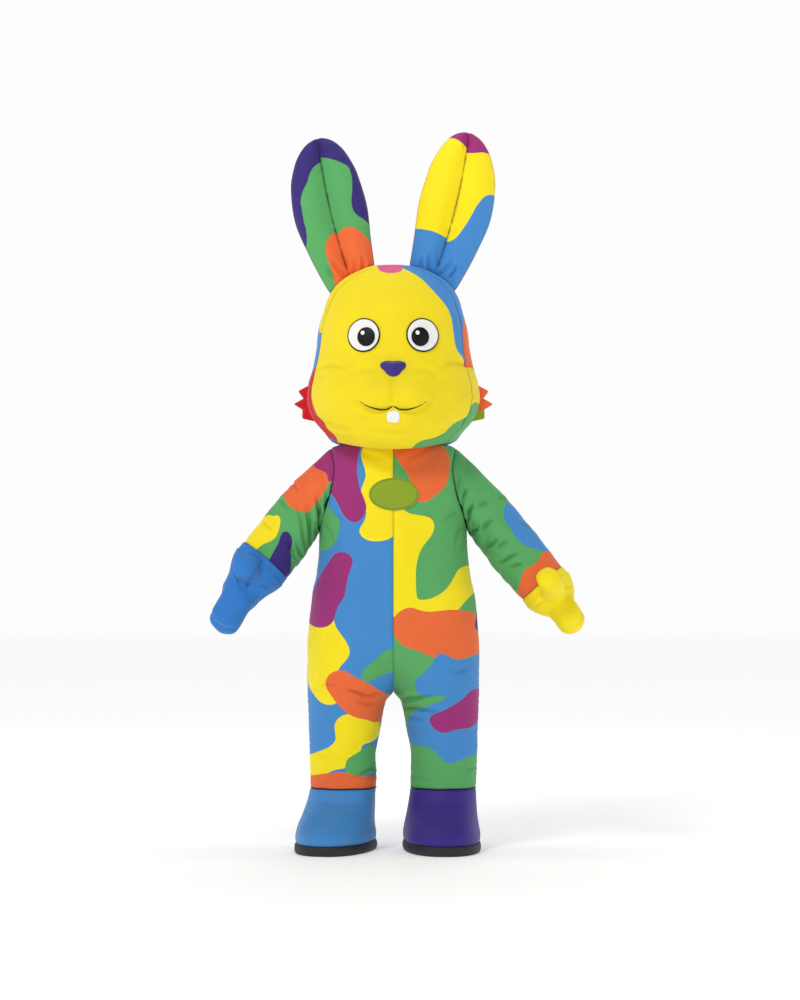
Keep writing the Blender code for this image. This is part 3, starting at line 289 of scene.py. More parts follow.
def crease_depth(points, lines):
    """Soft troughs with low ridges beside them, along lines of points: (line, depth, width)."""
    total = np.zeros(points.shape[:-1])
    for line, depth, width in lines:
        low = line.min(axis=0) - 5 * width
        high = line.max(axis=0) + 5 * width
        near = np.all((points > low) & (points < high), axis=-1)
        if not near.any():
            continue
        spots = points[near]
        best = np.full(len(spots), np.inf)
        share = np.zeros(len(spots))
        lengths = np.linalg.norm(np.diff(line, axis=0), axis=1)
        ends = np.concatenate([[0.0], np.cumsum(lengths)])
        for index, length in enumerate(lengths):
            part, offset = beside(spots, line[index], line[index + 1])
            gap = np.linalg.norm(offset, axis=1)
            closer = gap < best
            best = np.where(closer, gap, best)
            share = np.where(closer, (ends[index] + part * length) / ends[-1], share)
        ease = np.sin(math.pi * np.clip(share, 0.02, 0.98)) ** 0.7
        reach = width * (0.55 + 0.45 * ease)
        trough = np.exp(-(best / reach) ** 2)
        ridge = np.exp(-((best - 1.9 * reach) / reach) ** 2)
        total[near] += depth * ease * (0.42 * ridge - trough)
    return total


# Objects

def full_turn(count):
    """Angles of a full turn in equal steps."""
    return np.arange(count) * 2 * math.pi / count


def add_piece(name, points, faces, material, fields=None, weld=False):
    """A mesh object from points in heights from the floor, its faces outwards, with values at its points."""
    points = points.reshape(-1, 3) - (0.0, 0.0, SHOULDER_HEIGHT)
    mesh = bpy.data.meshes.new(name)
    mesh.from_pydata(points.tolist(), [], faces)
    for field, values in (fields or {"seam": np.zeros(len(points))}).items():
        layer = mesh.attributes.new(field, "FLOAT", "POINT")
        layer.data.foreach_set("value", np.ascontiguousarray(values, np.float32).reshape(-1))
    shape = bmesh.new()
    shape.from_mesh(mesh)
    if weld:
        bmesh.ops.remove_doubles(shape, verts=shape.verts, dist=WELD_DISTANCE)
    bmesh.ops.recalc_face_normals(shape, faces=shape.faces)
    shape.to_mesh(mesh)
    shape.free()
    mesh.shade_smooth()
    mesh.materials.append(material)
    item = bpy.data.objects.new(name, mesh)
    bpy.context.scene.collection.objects.link(item)
    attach(item, "root")
    return item


def stand_for(replaced):
    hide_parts(replaced)


def quads(rows, columns, wrap=True):
    """Quads between the neighbouring rows of a grid, round it if it is closed."""
    row = np.arange(rows - 1)[:, None]
    column = np.arange(columns if wrap else columns - 1)[None, :]
    a = row * columns + column
    b = row * columns + (column + 1) % columns
    return np.stack([a, b, b + columns, a + columns], axis=-1).reshape(-1, 4)


def tube_faces(rows, columns, caps=True):
    """Faces of a tube of closed rings, with its two ends filled."""
    faces = quads(rows, columns).tolist()
    if caps:
        faces.append(list(range(columns)))
        faces.append(list(range((rows - 1) * columns, rows * columns))[::-1])
    return faces


def wall_faces(rows, columns, wrap):
    """Faces of an outer grid, of the inner grid behind it, and of the edges between the two."""
    size = rows * columns
    outer = quads(rows, columns, wrap)
    faces = [outer, outer[:, ::-1] + size]
    around = np.arange(columns if wrap else columns - 1)
    pairs = [(edge * columns + around, edge * columns + (around + 1) % columns) for edge in (0, rows - 1)]
    if not wrap:
        down = np.arange(rows - 1) * columns
        pairs += [(down + edge, down + edge + columns) for edge in (0, columns - 1)]
    faces += [np.stack([a, b, b + size, a + size], axis=-1) for a, b in pairs]
    return np.concatenate(faces).tolist()


def shell(name, outer, inner, material, fields, wrap=False, weld=False):
    """A cloth wall between an outer and an inner grid of points."""
    rows, columns = outer.shape[:2]
    doubled = {field: np.tile(values.reshape(-1), 2) for field, values in fields.items()}
    return add_piece(name, np.stack([outer, inner]), wall_faces(rows, columns, wrap), material, doubled, weld)


def seam_dip(distance, depth, width=0.0055):
    """The cloth dives to a seam over its last few millimetres, after a slight swell."""
    return (-depth * np.exp(-(distance / width) ** 1.6)
            + 0.0006 * np.exp(-((distance - 0.022) / 0.012) ** 2))


def seam_shade(distance):
    return np.exp(-(distance / 0.0032) ** 2)


def trough_shade(troughs):
    """The shade that gathers at the bottom of a crease."""
    return 0.6 * np.clip((-troughs - 0.0014) / 0.0062, 0.0, 1.0) ** 1.4


def puckers(distance, along, size, seed, depth, reach=0.016):
    """Small gathers along a seam that die away within a couple of centimetres."""
    turn = np.random.default_rng(seed)
    total = np.zeros(np.shape(along))
    for _ in range(4):
        total += np.sin(along * (2 * math.pi / (size * turn.uniform(0.75, 1.45))) + turn.uniform(0, 6.3))
    return depth * total / 2.2 * np.exp(-((distance - 0.006) / reach) ** 2)


# Print: rounded blobs in layers. The value of a layer is above zero inside its blobs.

BLOB_WANDER = 0.010 * 0.6
BLOB_BLEND = 0.022


def print_layer(places, chains, seed):
    """How far inside a layer's blobs each place lies, in metres; a chain is a row of place and radius."""
    turn = np.random.default_rng(seed)
    warped = np.array(places, float)
    axes = places.shape[-1]
    for axis in range(axes):
        for _ in range(3):
            size = turn.uniform(0.13, 0.26)
            direction = turn.normal(size=axes)
            direction /= np.linalg.norm(direction)
            warped[..., axis] += BLOB_WANDER * np.sin(
                places @ direction * (2 * math.pi / size) + turn.uniform(0, 6.3))
    total = np.full(places.shape[:-1], -1.0)
    for chain in chains:
        chain = np.reshape(chain, (-1, axes + 1)) / MILLI
        spots, radii = chain[:, :-1], chain[:, -1]
        if len(chain) == 1:
            value = radii[0] - np.linalg.norm(warped - spots[0], axis=-1)
            total = soft_max(total, value, BLOB_BLEND)
        for index in range(len(chain) - 1):
            part, offset = beside(warped, spots[index], spots[index + 1])
            radius = radii[index] + part * (radii[index + 1] - radii[index])
            total = soft_max(total, radius - np.linalg.norm(offset, axis=-1), BLOB_BLEND)
    return total


def soft_max(first, second, blend):
    part = np.clip(0.5 + 0.5 * (first - second) / blend, 0.0, 1.0)
    return second + (first - second) * part + blend * part * (1 - part)


def print_fields(places, layers, seed):
    return {f"print_{index}": print_layer(places, chains, seed=seed * 31 + sum(colour.encode()))
            for index, (colour, *chains) in enumerate(layers)}


# Surfaces of the costume, worked out for many points at once

def suit_section(height):
    """Centre, half-width, depths, roundness and first angle of one half of the suit."""
    outer = SUIT["outer"](height)
    inner = SUIT["inner"](height)
    roundness = SUIT["roundness"](height)
    climb = np.clip((height - CROTCH_HEIGHT) / (LEG_JOIN_HEIGHT - CROTCH_HEIGHT), 0.0, 1.0)
    joined = 1 - (1 - climb ** JOIN_EASE) ** 2
    above = height >= CROTCH_HEIGHT
    half = np.where(above, outer / (2 - joined), (outer - inner) / 2)
    centre = outer - half
    share = np.clip(centre / half, 0.0, 1.0)
    first = np.where(above, np.arccos(share ** (roundness / 2)), 0.0)
    return centre, half, SUIT["front"](height), SUIT["back"](height), roundness, first


def suit_points(height, share):
    """Points of the left half: share 0 at the front or inside seam, 0.5 at the side, 1 at the back."""
    centre, half, front, back, roundness, first = suit_section(height)
    angle = first + share * 2 * (math.pi - first)
    depth = np.where(np.sin(angle) > 0, front, back)
    x = centre - half * signed_power(np.cos(angle), 2 / roundness)
    y = -depth * signed_power(np.sin(angle), 2 / roundness)
    return np.stack(np.broadcast_arrays(x, y, height), axis=-1)


def suit_normals(height, share):
    step_height = 0.0006
    step_share = 0.004
    low = np.maximum(0.0, share - step_share)
    high = np.minimum(1.0, share + step_share)
    along = suit_points(height, high) - suit_points(height, low)
    up = suit_points(height + step_height, share) - suit_points(height - step_height, share)
    normal = unit(np.cross(along, up))
    ends = (share <= 0.0) | (share >= 1.0)
    below = ends & (height < CROTCH_HEIGHT)
    over = ends & (height > LEG_JOIN_HEIGHT)
    between = ends & ~below & ~over
    normal[..., 1] = np.where(below | (share == 0.5), 0.0, normal[..., 1])
    normal[..., 0] = np.where(over, 0.0, normal[..., 0])
    normal[..., 0] = np.where(between, np.minimum(normal[..., 0], 0.0), normal[..., 0])
    return unit(normal)


def edge_share(height, back):
    """Where a panel ends: at the side seam, or at the armhole."""
    level = (height - ARMHOLE_MIDDLE) / ARMHOLE_HALF_HEIGHT
    opening = ARMHOLE_HALF_DEPTH * np.sqrt(np.maximum(0.0, 1 - level ** 2))
    _, _, front_depth, back_depth, roundness, first = suit_section(height)
    depth = back_depth if back else front_depth
    angle = math.pi - np.arcsin((opening / depth) ** (roundness / 2))
    share = (angle - first) / (2 * (math.pi - first))
    share = np.where(opening < 1e-6, 0.5, share)
    return 1 - share if back else share


def surface_of_suit(x, height, back=False):
    centre, half, front, back_depth, roundness, _ = suit_section(height)
    depth = back_depth if back else front
    share = np.minimum(1.0, np.abs(np.abs(x) - centre) / half)
    y = depth * (1 - share ** roundness) ** (1 / roundness)
    return np.stack(np.broadcast_arrays(x, y if back else -y, height), axis=-1)


def armhole_points(angle):
    """The armhole's edge on the left side: angle 0 at its top, a quarter turn at its front."""
    height = ARMHOLE_MIDDLE + ARMHOLE_HALF_HEIGHT * np.cos(angle)
    y = -ARMHOLE_HALF_DEPTH * np.sin(angle)
    centre, half, front, back, roundness, _ = suit_section(height)
    depth = np.where(y < 0, front, back)
    x = centre + half * (1 - (np.abs(y) / depth) ** roundness) ** (1 / roundness)
    return np.stack([x, y, height], axis=-1)


def arm_frame(side_name):
    """Armhole centre, wrist, and the directions along and across an arm."""
    side = SIDES[side_name]
    arm = ARMS[side_name]
    start = (armhole_points(np.array(0.0)) + armhole_points(np.array(math.pi))) / 2 * (side, 1, 1)
    wrist = np.array((arm["wrist"][0], -HAND_FORWARD, arm["wrist"][1]))
    along = wrist - start
    along /= np.linalg.norm(along)
    front = np.array((0.0, -1.0, 0.0))
    front -= along * front.dot(along)
    front /= np.linalg.norm(front)
    upper = np.cross(front, along) * side
    return start, wrist, along, upper, front


def crease_scale(along, angle):
    scale = np.ones(np.broadcast(along, angle).shape)
    for place, depth, width, skew, turn in SLEEVE_CREASES:
        middle = place + skew * np.cos(angle - turn)
        reach = 0.5 + 0.5 * np.cos(angle - turn)
        scale -= depth * reach * np.exp(-((along - middle) / width) ** 2)
    return scale


def sleeve_points(side_name, along_share, angle):
    """Outside of a sleeve: along share 0 at the armhole and 1 at the wrist."""
    side = SIDES[side_name]
    start, wrist, _, upper, front = arm_frame(side_name)
    radius = ARMS[side_name]["radius"]
    seam = armhole_points(angle) * (side, 1, 1) + (side * GAP, 0, 0)
    end = wrist + radius * (np.cos(angle)[..., None] * upper + np.sin(angle)[..., None] * front)
    share = np.asarray(along_share)[..., None]
    point = seam + (end - seam) * share
    turn = np.cos(angle)
    bow = SLEEVE_BOW * np.maximum(0.0, turn) - SLEEVE_SAG * np.maximum(0.0, -turn)
    bow = bow * 4 * along_share * (1 - along_share)
    core = start + (wrist - start) * share
    fade = smooth_step(np.minimum(along_share, 1 - along_share) / 0.12)
    scale = 1 + fade * (crease_scale(along_share, angle) - 1)
    return core + (point - core) * scale[..., None] + upper * bow[..., None]


def capsule(points, start, end, radius_start, radius_end, squash=None, factor=1.0):
    """Distance of points from a rod with round ends, flattened along one direction if asked."""
    part, offset = beside(points, start, end)
    if squash is not None:
        offset = offset - (offset @ squash)[..., None] * squash * (1 - 1 / factor)
    return np.linalg.norm(offset, axis=-1) - (radius_start + part * (radius_end - radius_start))


def soft_union(first, second, blend):
    return -soft_max(-first, -second, blend)


def hand_distance(side_name, points):
    """Distance from the outside of a gloved hand, below zero inside it."""
    side = SIDES[side_name]
    arm = ARMS[side_name]
    _, wrist, along, _, _ = arm_frame(side_name)
    radius = arm["radius"] + GAP + GLOVE_CLOTH
    knuckle = np.array((arm["knuckle"][0], -HAND_FORWARD - KNUCKLE_FORWARD, arm["knuckle"][1]))
    tip = np.array((arm["tip"][0], -HAND_FORWARD - TIP_FORWARD, arm["tip"][1]))
    bend = (tip - knuckle) / np.linalg.norm(tip - knuckle)
    thick = np.array((bend[2], 0.0, -bend[0])) * -side
    thick /= np.linalg.norm(thick)
    heel = wrist + along * SLEEVE_TUCK
    shape = capsule(points, wrist, heel, radius, radius)
    palm = capsule(points, heel, knuckle, radius * PALM_START, arm["palm"])
    shape = soft_union(shape, palm, HAND_BLEND)
    for depth, reach, finger_radius in FINGERS:
        root = knuckle + (0.0, depth * 0.8, 0.0)
        end = tip + (0.0, depth, 0.0) + bend * reach
        finger = capsule(points, root, end, finger_radius, finger_radius * 0.94, thick, arm["flatten"])
        shape = soft_union(shape, finger, FINGER_BLEND)
    thumb_root = wrist + along * THUMB_ROOT
    thumb_tip = np.array((arm["thumb"][0], -HAND_FORWARD - THUMB_FORWARD, arm["thumb"][1]))
    thumb = capsule(points, thumb_root, thumb_tip, THUMB_RADIUS, THUMB_RADIUS)
    return soft_union(shape, thumb, THUMB_BLEND)


def turned(x, y, yaw):
    angle = np.radians(yaw)
    return x * np.cos(angle) - y * np.sin(angle), x * np.sin(angle) + y * np.cos(angle)


def boot_points(side, half_width, toe, heel, roundness, yaw, angle, height):
    """Points of a boot's outline in plan at some heights, from the inside edge round the toe."""
    reach = np.where(np.sin(angle) > 0, toe, heel)
    x = -side * half_width * signed_power(np.cos(angle), 2 / roundness)
    y = -reach * signed_power(np.sin(angle), 2 / roundness)
    x, y = turned(x, y, yaw)
    ankle = (SUIT_SECTIONS[0][1] + SUIT_SECTIONS[0][2]) / 2     # the middle of the trouser leg
    return np.stack(np.broadcast_arrays(x + side * ankle, y, height), axis=-1)


def face_bump(x, height):
    """How far cheeks, muzzle and chin stand forward of the plain head."""
    total = 0.0
    for across, middle, half_width, half_height, forward in FACE_BUMPS:
        for side in ((1, -1) if across else (1,)):
            reach = ((x - side * across) / half_width) ** 2 + ((height - middle) / half_height) ** 2
            total = total + forward * np.exp(-reach)
    return total


def head_points(ring, angle):
    """Outside of the head: ring 0 at the neck rim, 16 at the crown; angle 0 at the front, + towards +X."""
    ring, angle = np.broadcast_arrays(np.asarray(ring, float), np.asarray(angle, float))
    upper = np.maximum(ring, 1.0)
    half, front, back = HEAD["half_width"](upper), HEAD["front"](upper), HEAD["back"](upper)
    cosine = np.cos(angle)
    x = half * signed_power(np.sin(angle), 2 / HEAD_ROUNDNESS)
    y = -np.where(cosine > 0, front, back) * signed_power(cosine, 2 / HEAD_ROUNDNESS)
    far = np.where(cosine > 0, HEAD["front_height"](upper), HEAD["back_height"](upper))
    height = HEAD["side"](upper) + (far - HEAD["side"](upper)) * cosine * cosine
    y = y - face_bump(x, height) * smooth_step(cosine * 2.0)
    point = np.stack([x, y, height], axis=-1)
    wrapped = (angle + math.pi) % (2 * math.pi) - math.pi
    share = np.clip(np.abs(wrapped) / math.pi, 0.0, 1.0)
    level = np.full(share.shape, RIM_HEIGHT)
    rim = suit_points(level, share) + RIM_LIFT * suit_normals(level, share)
    rim[..., 0] *= np.where(wrapped >= 0, 1, -1)
    low = (ring < 1.0)[..., None]
    return np.where(low, rim + (point - rim) * ring[..., None], point)


def head_normals(ring, angle):
    step_ring = 0.03
    step_angle = 0.01
    low = np.maximum(0.0, ring - step_ring)
    high = np.minimum(CROWN_RING, ring + step_ring)
    around = head_points(ring, angle + step_angle) - head_points(ring, angle - step_angle)
    up = head_points(high, angle) - head_points(low, angle)
    normal = np.cross(around, up)
    length = np.linalg.norm(normal, axis=-1, keepdims=True)
    flat = length[..., 0] < 1e-9
    normal = normal / np.maximum(length, 1e-12)
    normal[flat] = (0.0, 0.0, 1.0)
    return normal


def face_edge(ring, side_name):
    """Angle from the front at which the face panel ends."""
    ring = np.maximum(1.0, ring)
    lower = FACE_SEAM[side_name]
    seam = lower + (FACE_TOP_FRONT - lower) * smooth_step((ring - 8) / 5)
    front = np.maximum(HEAD["front"](ring), 1e-6)
    return np.arccos(np.minimum(1.0, seam / front) ** (HEAD_ROUNDNESS / 2))


def face_top_ring():
    low, high = 12.0, CROWN_RING
    for _ in range(40):
        middle = (low + high) / 2
        if HEAD["front"](middle) > FACE_TOP_FRONT:
            low = middle
        else:
            high = middle
    return low


def surface_of_face(x, height):
    """The face's outside at places across and heights."""
    x, height = np.broadcast_arrays(np.asarray(x, float), np.asarray(height, float))
    low = np.full(x.shape, 2.0)
    high = np.full(x.shape, CROWN_RING - 0.05)
    for _ in range(36):
        middle = (low + high) / 2
        half = HEAD["half_width"](middle)
        sine = np.minimum(1.0, np.abs(x) / half) ** (HEAD_ROUNDNESS / 2)
        point = head_points(middle, np.copysign(np.arcsin(sine), x))
        under = point[..., 2] < height
        low = np.where(under, middle, low)
        high = np.where(under, high, middle)
    return point


def surface_normals(surface, x, height):
    step = 0.002
    across = surface(x + step, height) - surface(x - step, height)
    up = surface(x, height + step) - surface(x, height - step)
    return unit(np.cross(across, up))


def ear_frame(side_name):
    ear = EARS[side_name]
    base = np.array((ear["base"][0], 0.0, ear["base"][1]))
    tip = np.array((ear["tip"][0], EAR_BACK_LEAN, ear["tip"][1]))
    axis = tip - base
    direction = axis / np.linalg.norm(axis)
    width = np.array((direction[2], 0.0, -direction[0]))
    front = np.cross(direction, width)
    if front[1] > 0:
        front = -front
    return base, axis, width, front


def ear_points(side_name, along, across, depth):
    """Points of an ear: along from base to tip, across its face, and depth towards the front."""
    base, axis, width, front = ear_frame(side_name)
    bow = EARS[side_name]["bow"] * 4 * along * (1 - along) * SIDES[side_name]
    return base + axis * along[..., None] + width * (across + bow)[..., None] + front * depth[..., None]


def ear_front_depth(along, share):
    swell = (1 - np.abs(share) ** 2.2) ** 0.6
    valley = 1 - EAR_VALLEY * np.exp(-(share / EAR_VALLEY_WIDTH) ** 2) * smooth_step(along / 0.15 + 1.0)
    return EAR_EDGE + EAR["front"](along) * swell * valley


def ear_back_depth(along, share):
    return EAR_EDGE + EAR["back"](along) * (1 - np.abs(share) ** 2.4) ** 0.6


# Materials

def linear(red, green, blue):
    """A colour given as it looks on a screen, 0 to 255."""
    return tuple(((value / 255 + 0.055) / 1.055) ** 2.4 if value > 10 else value / 255 / 12.92
                 for value in (red, green, blue))


# cheek is the plain yellow a shade darker, used for the face and its patches on the head: painted shade,
# since the lamps light the face more than the rest of the costume
COLOURS = {name: linear(*values) for name, values in {
    "yellow": (251, 228, 20), "cheek": (243, 219, 20), "blue": (67, 139, 206), "glove_blue": (48, 124, 204),
    "green": (88, 170, 98), "orange": (237, 108, 54), "magenta": (157, 43, 118), "purple": (54, 38, 116),
    "boot_purple": (60, 38, 136), "red": (204, 16, 26), "pink": (216, 86, 140), "olive": (138, 164, 36),
    "olive_dark": (92, 112, 22), "indigo": (54, 36, 126), "white": (238, 238, 236), "black": (15, 15, 17),
    "sole_black": (30, 30, 38),
}.items()}
PRINT_SHARPNESS = 900.0     # a print's edge runs from one colour to the next within about a millimetre


def put(tree, value, socket):
    """Set a socket to a number or a colour, or link another node's output to it."""
    if isinstance(value, tuple):
        socket.default_value = (*value, 1.0)
    elif isinstance(value, (int, float)):
        socket.default_value = value
    else:
        tree.links.new(value, socket)


def feed(tree, target, **inputs):
    """Put values on a node's inputs by name."""
    for name, value in inputs.items():
        put(tree, value, target.inputs[name.replace("_", " ")])
    return target.outputs[0]


def node(tree, kind, **inputs):
    return feed(tree, tree.nodes.new(kind), **inputs)


def attribute(tree, name):
    made = tree.nodes.new("ShaderNodeAttribute")
    made.attribute_name = name
    return made.outputs["Fac"]


def math_node(tree, operation, *values, clamp=False):
    made = tree.nodes.new("ShaderNodeMath")
    made.operation = operation
    made.use_clamp = clamp
    for value, socket in zip(values, made.inputs):
        put(tree, value, socket)
    return made.outputs[0]


def mix_colour(tree, factor, first, second, blend="MIX"):
    made = tree.nodes.new("ShaderNodeMix")
    made.data_type = "RGBA"
    made.blend_type = blend
    sockets = {socket.identifier: socket for socket in made.inputs}
    for key, value in (("Factor_Float", factor), ("A_Color", first), ("B_Color", second)):
        put(tree, value, sockets[key])
    return next(socket for socket in made.outputs if socket.identifier == "Result_Color")


def grey(tree, value):
    """A grey colour made from a value that varies over the surface."""
    return node(tree, "ShaderNodeCombineColor", Red=value, Green=value, Blue=value)


def spread(tree, value, low, high):
    """A value from 0 to 1 spread over another range."""
    return node(tree, "ShaderNodeMapRange", Value=value, To_Min=low, To_Max=high)


def soft_ramp(tree, value, start, end, low, high):
    """A value eased from low to high while another goes from start to end."""
    made = tree.nodes.new("ShaderNodeMapRange")
    made.interpolation_type = "SMOOTHSTEP"
    return feed(tree, made, Value=value, From_Min=start, From_Max=end, To_Min=low, To_Max=high)


def noise(tree, place, scale, detail, rough=0.55):
    return node(tree, "ShaderNodeTexNoise", Scale=scale, Detail=detail, Roughness=rough, Vector=place)


def bump(tree, height, strength, distance):
    return node(tree, "ShaderNodeBump", Strength=strength, Distance=distance, Height=height)


def new_material(name):
    """A material, its node tree, its shader, and places in the object's own frame."""
    material = bpy.data.materials.new(name)
    material.use_nodes = True
    tree = material.node_tree
    places = tree.nodes.new("ShaderNodeTexCoord").outputs["Object"]
    return material, tree, tree.nodes["Principled BSDF"], places


def cloth_material(name, base, layers=(), roughness=0.72, sheen=0.10, pile=0.5, mottle=0.05):
    """Printed cloth: crisp blobs in layers, short pile, soft mottling, and painted shade in the seams and
    creases.
    """
    material, tree, shader, places = new_material(name)
    colour = COLOURS[base]
    for index, (layer_colour, *_) in enumerate(layers):
        inside = math_node(tree, "MULTIPLY_ADD", attribute(tree, f"print_{index}"), PRINT_SHARPNESS, 0.5,
                           clamp=True)
        colour = mix_colour(tree, inside, colour, COLOURS[layer_colour])
    fine = noise(tree, places, 420.0, 3.0, 0.7)
    tuft = noise(tree, places, 90.0, 2.0)
    shade = spread(tree, fine, 1 - mottle, 1 + mottle * 0.6)
    # the last of these is painted shade: the seam field darkens the cloth along seams, in crease troughs and
    # at edges
    for value, low, high in ((noise(tree, places, 11.0, 2.0), 0.95, 1.05),
                             (tuft, 1 - mottle * 0.6, 1 + mottle * 0.5),
                             (attribute(tree, "seam"), 1.0, 0.62)):
        shade = math_node(tree, "MULTIPLY", shade, spread(tree, value, low, high))
    colour = mix_colour(tree, 1.0, colour, grey(tree, shade), "MULTIPLY")
    feed(tree, shader, Base_Color=colour, Roughness=roughness, Sheen_Weight=sheen, Sheen_Roughness=0.45,
         Specular_IOR_Level=0.28, Normal=bump(tree, math_node(tree, "ADD", fine, tuft), pile, 0.0009))
    return material


def smooth_material(name, colour, roughness, mottle=0.05):
    """Vinyl or rubber: one colour with slight mottling and a fine grain."""
    material, tree, shader, places = new_material(name)
    fine = noise(tree, places, 650.0, 3.0)
    soft = noise(tree, places, 22.0, 2.0)
    shade = math_node(tree, "MULTIPLY", spread(tree, fine, 1 - mottle, 1 + mottle),
                      spread(tree, soft, 0.94, 1.06))
    tinted = mix_colour(tree, 1.0, COLOURS[colour], grey(tree, shade), "MULTIPLY")
    feed(tree, shader, Base_Color=tinted, Roughness=spread(tree, soft, roughness - 0.05, roughness + 0.07),
         Normal=bump(tree, fine, 0.15, 0.0004))
    return material


# Suit
# Prints: for each piece a base colour, then layers of a colour and its chains of blobs, in millimetres. A
# chain is a row of places across and in height, each with a radius.

SUIT_PRINTS = {
    "suit_front_right": ("blue", (
        ("yellow", (-12, 1300, 50,  -35, 1200, 48,  -55, 1110, 44,  -35, 1010, 62),
         (-262, 705, 72,  -215, 620, 66,  -210, 515, 56),
         (-80, 385, 46,  -140, 375, 40,  -155, 300, 40,  -240, 262, 42)),
        ("magenta", (-178, 1262, 64,  -158, 1165, 58,  -128, 1060, 44),
         (-158, 885, 30,  -185, 810, 42,  -235, 735, 56)),
        ("green", (-240, 1090, 46,  -225, 1000, 56), (-5, 585, 44,  -75, 548, 30),
         (-75, 285, 36,  -115, 265, 30)),
        ("orange", (-282, 915, 36,  -270, 850, 26), (-155, 515, 40,  -100, 475, 52,  -50, 440, 50),
         (-270, 200, 30,  -160, 198, 26,  -50, 212, 28)),
    )),
    "suit_front_left": ("green", (
        ("yellow", (0, 1010, 60,  62, 985, 44,  20, 905, 46,  10, 810, 60),
         (10, 770, 40,  85, 740, 36,  165, 762, 36,  225, 838, 44)),
        ("orange", (35, 1300, 62,  100, 1220, 60,  108, 1125, 48),
         (60, 690, 58,  150, 668, 72,  240, 672, 62)),
        ("blue", (260, 555, 60,  165, 545, 56,  110, 510, 34),
         (258, 480, 36,  215, 440, 50,  80, 380, 46,  165, 345, 58,  265, 345, 45)),
        ("magenta", (262, 455, 52,  215, 415, 40,  155, 395, 32)),
        ("purple", (275, 760, 30,  270, 700, 22)),
    )),
    "suit_back_left": ("blue", (
        ("orange", (60, 1260, 60,  120, 1165, 52,  160, 1090, 45)),
        ("yellow", (15, 1020, 52,  85, 960, 55,  160, 935, 50,  225, 880, 42),
         (150, 500, 52,  205, 440, 45,  245, 375, 34)),
        ("green", (230, 745, 60,  165, 690, 50,  100, 660, 45), (85, 290, 45,  150, 235, 52)),
        ("magenta", (40, 805, 48,  55, 735, 45,  20, 670, 40), (255, 560, 36,  265, 500, 26)),
        ("purple", (245, 1085, 36,  240, 1030, 30), (70, 420, 34,  95, 380, 28)),
    )),
    "suit_back_right": ("yellow", (
        ("green", (-30, 1250, 62,  -95, 1165, 60,  -70, 1085, 50),
         (-225, 600, 50,  -180, 550, 45,  -110, 560, 34)),
        ("blue", (-200, 1050, 62,  -160, 970, 55,  -95, 930, 50),
         (-75, 500, 50,  -140, 440, 50,  -205, 415, 40), (-60, 215, 36,  -110, 245, 30)),
        ("orange", (-230, 850, 52,  -200, 775, 55,  -130, 740, 48), (-100, 330, 40,  -160, 340, 34)),
        ("magenta", (-30, 745, 50,  -72, 670, 50,  -50, 600, 40), (-225, 290, 42,  -170, 250, 38),
         (-205, 1190, 36,  -190, 1240, 40)),
    )),
}
# A sleeve's places: distance from the armhole, and distance round it from its upper side, + to the front.
SLEEVE_PRINTS = {
    "sleeve_left": ("green", (
        ("blue", (205, 70, 36,  260, 50, 48,  315, -10, 54,  345, -70, 34), (110, -200, 50,  170, -250, 48)),
        ("orange", (392, 240, 50,  385, 150, 52,  385, 60, 46,  398, -50, 42,  400, -150, 34)),
        ("yellow", (300, -180, 45,  240, -130, 40)),
        ("magenta", (30, -110, 40,  90, -80, 34)),
    )),
    "sleeve_right": ("green", (
        ("orange", (55, 130, 56,  90, 60, 66,  105, -20, 68,  130, -100, 50)),
        ("magenta", (-10, 140, 34,  0, 70, 42,  10, -10, 40,  20, -90, 46)),
        ("purple", (235, 170, 34,  285, 185, 52,  310, 260, 56), (230, -220, 40,  260, -280, 34)),
        ("yellow", (235, 85, 40,  275, 40, 56,  290, -50, 56)),
        ("blue", (275, -165, 46,  230, -200, 34), (345, 120, 40,  345, 40, 36)),
    )),
}
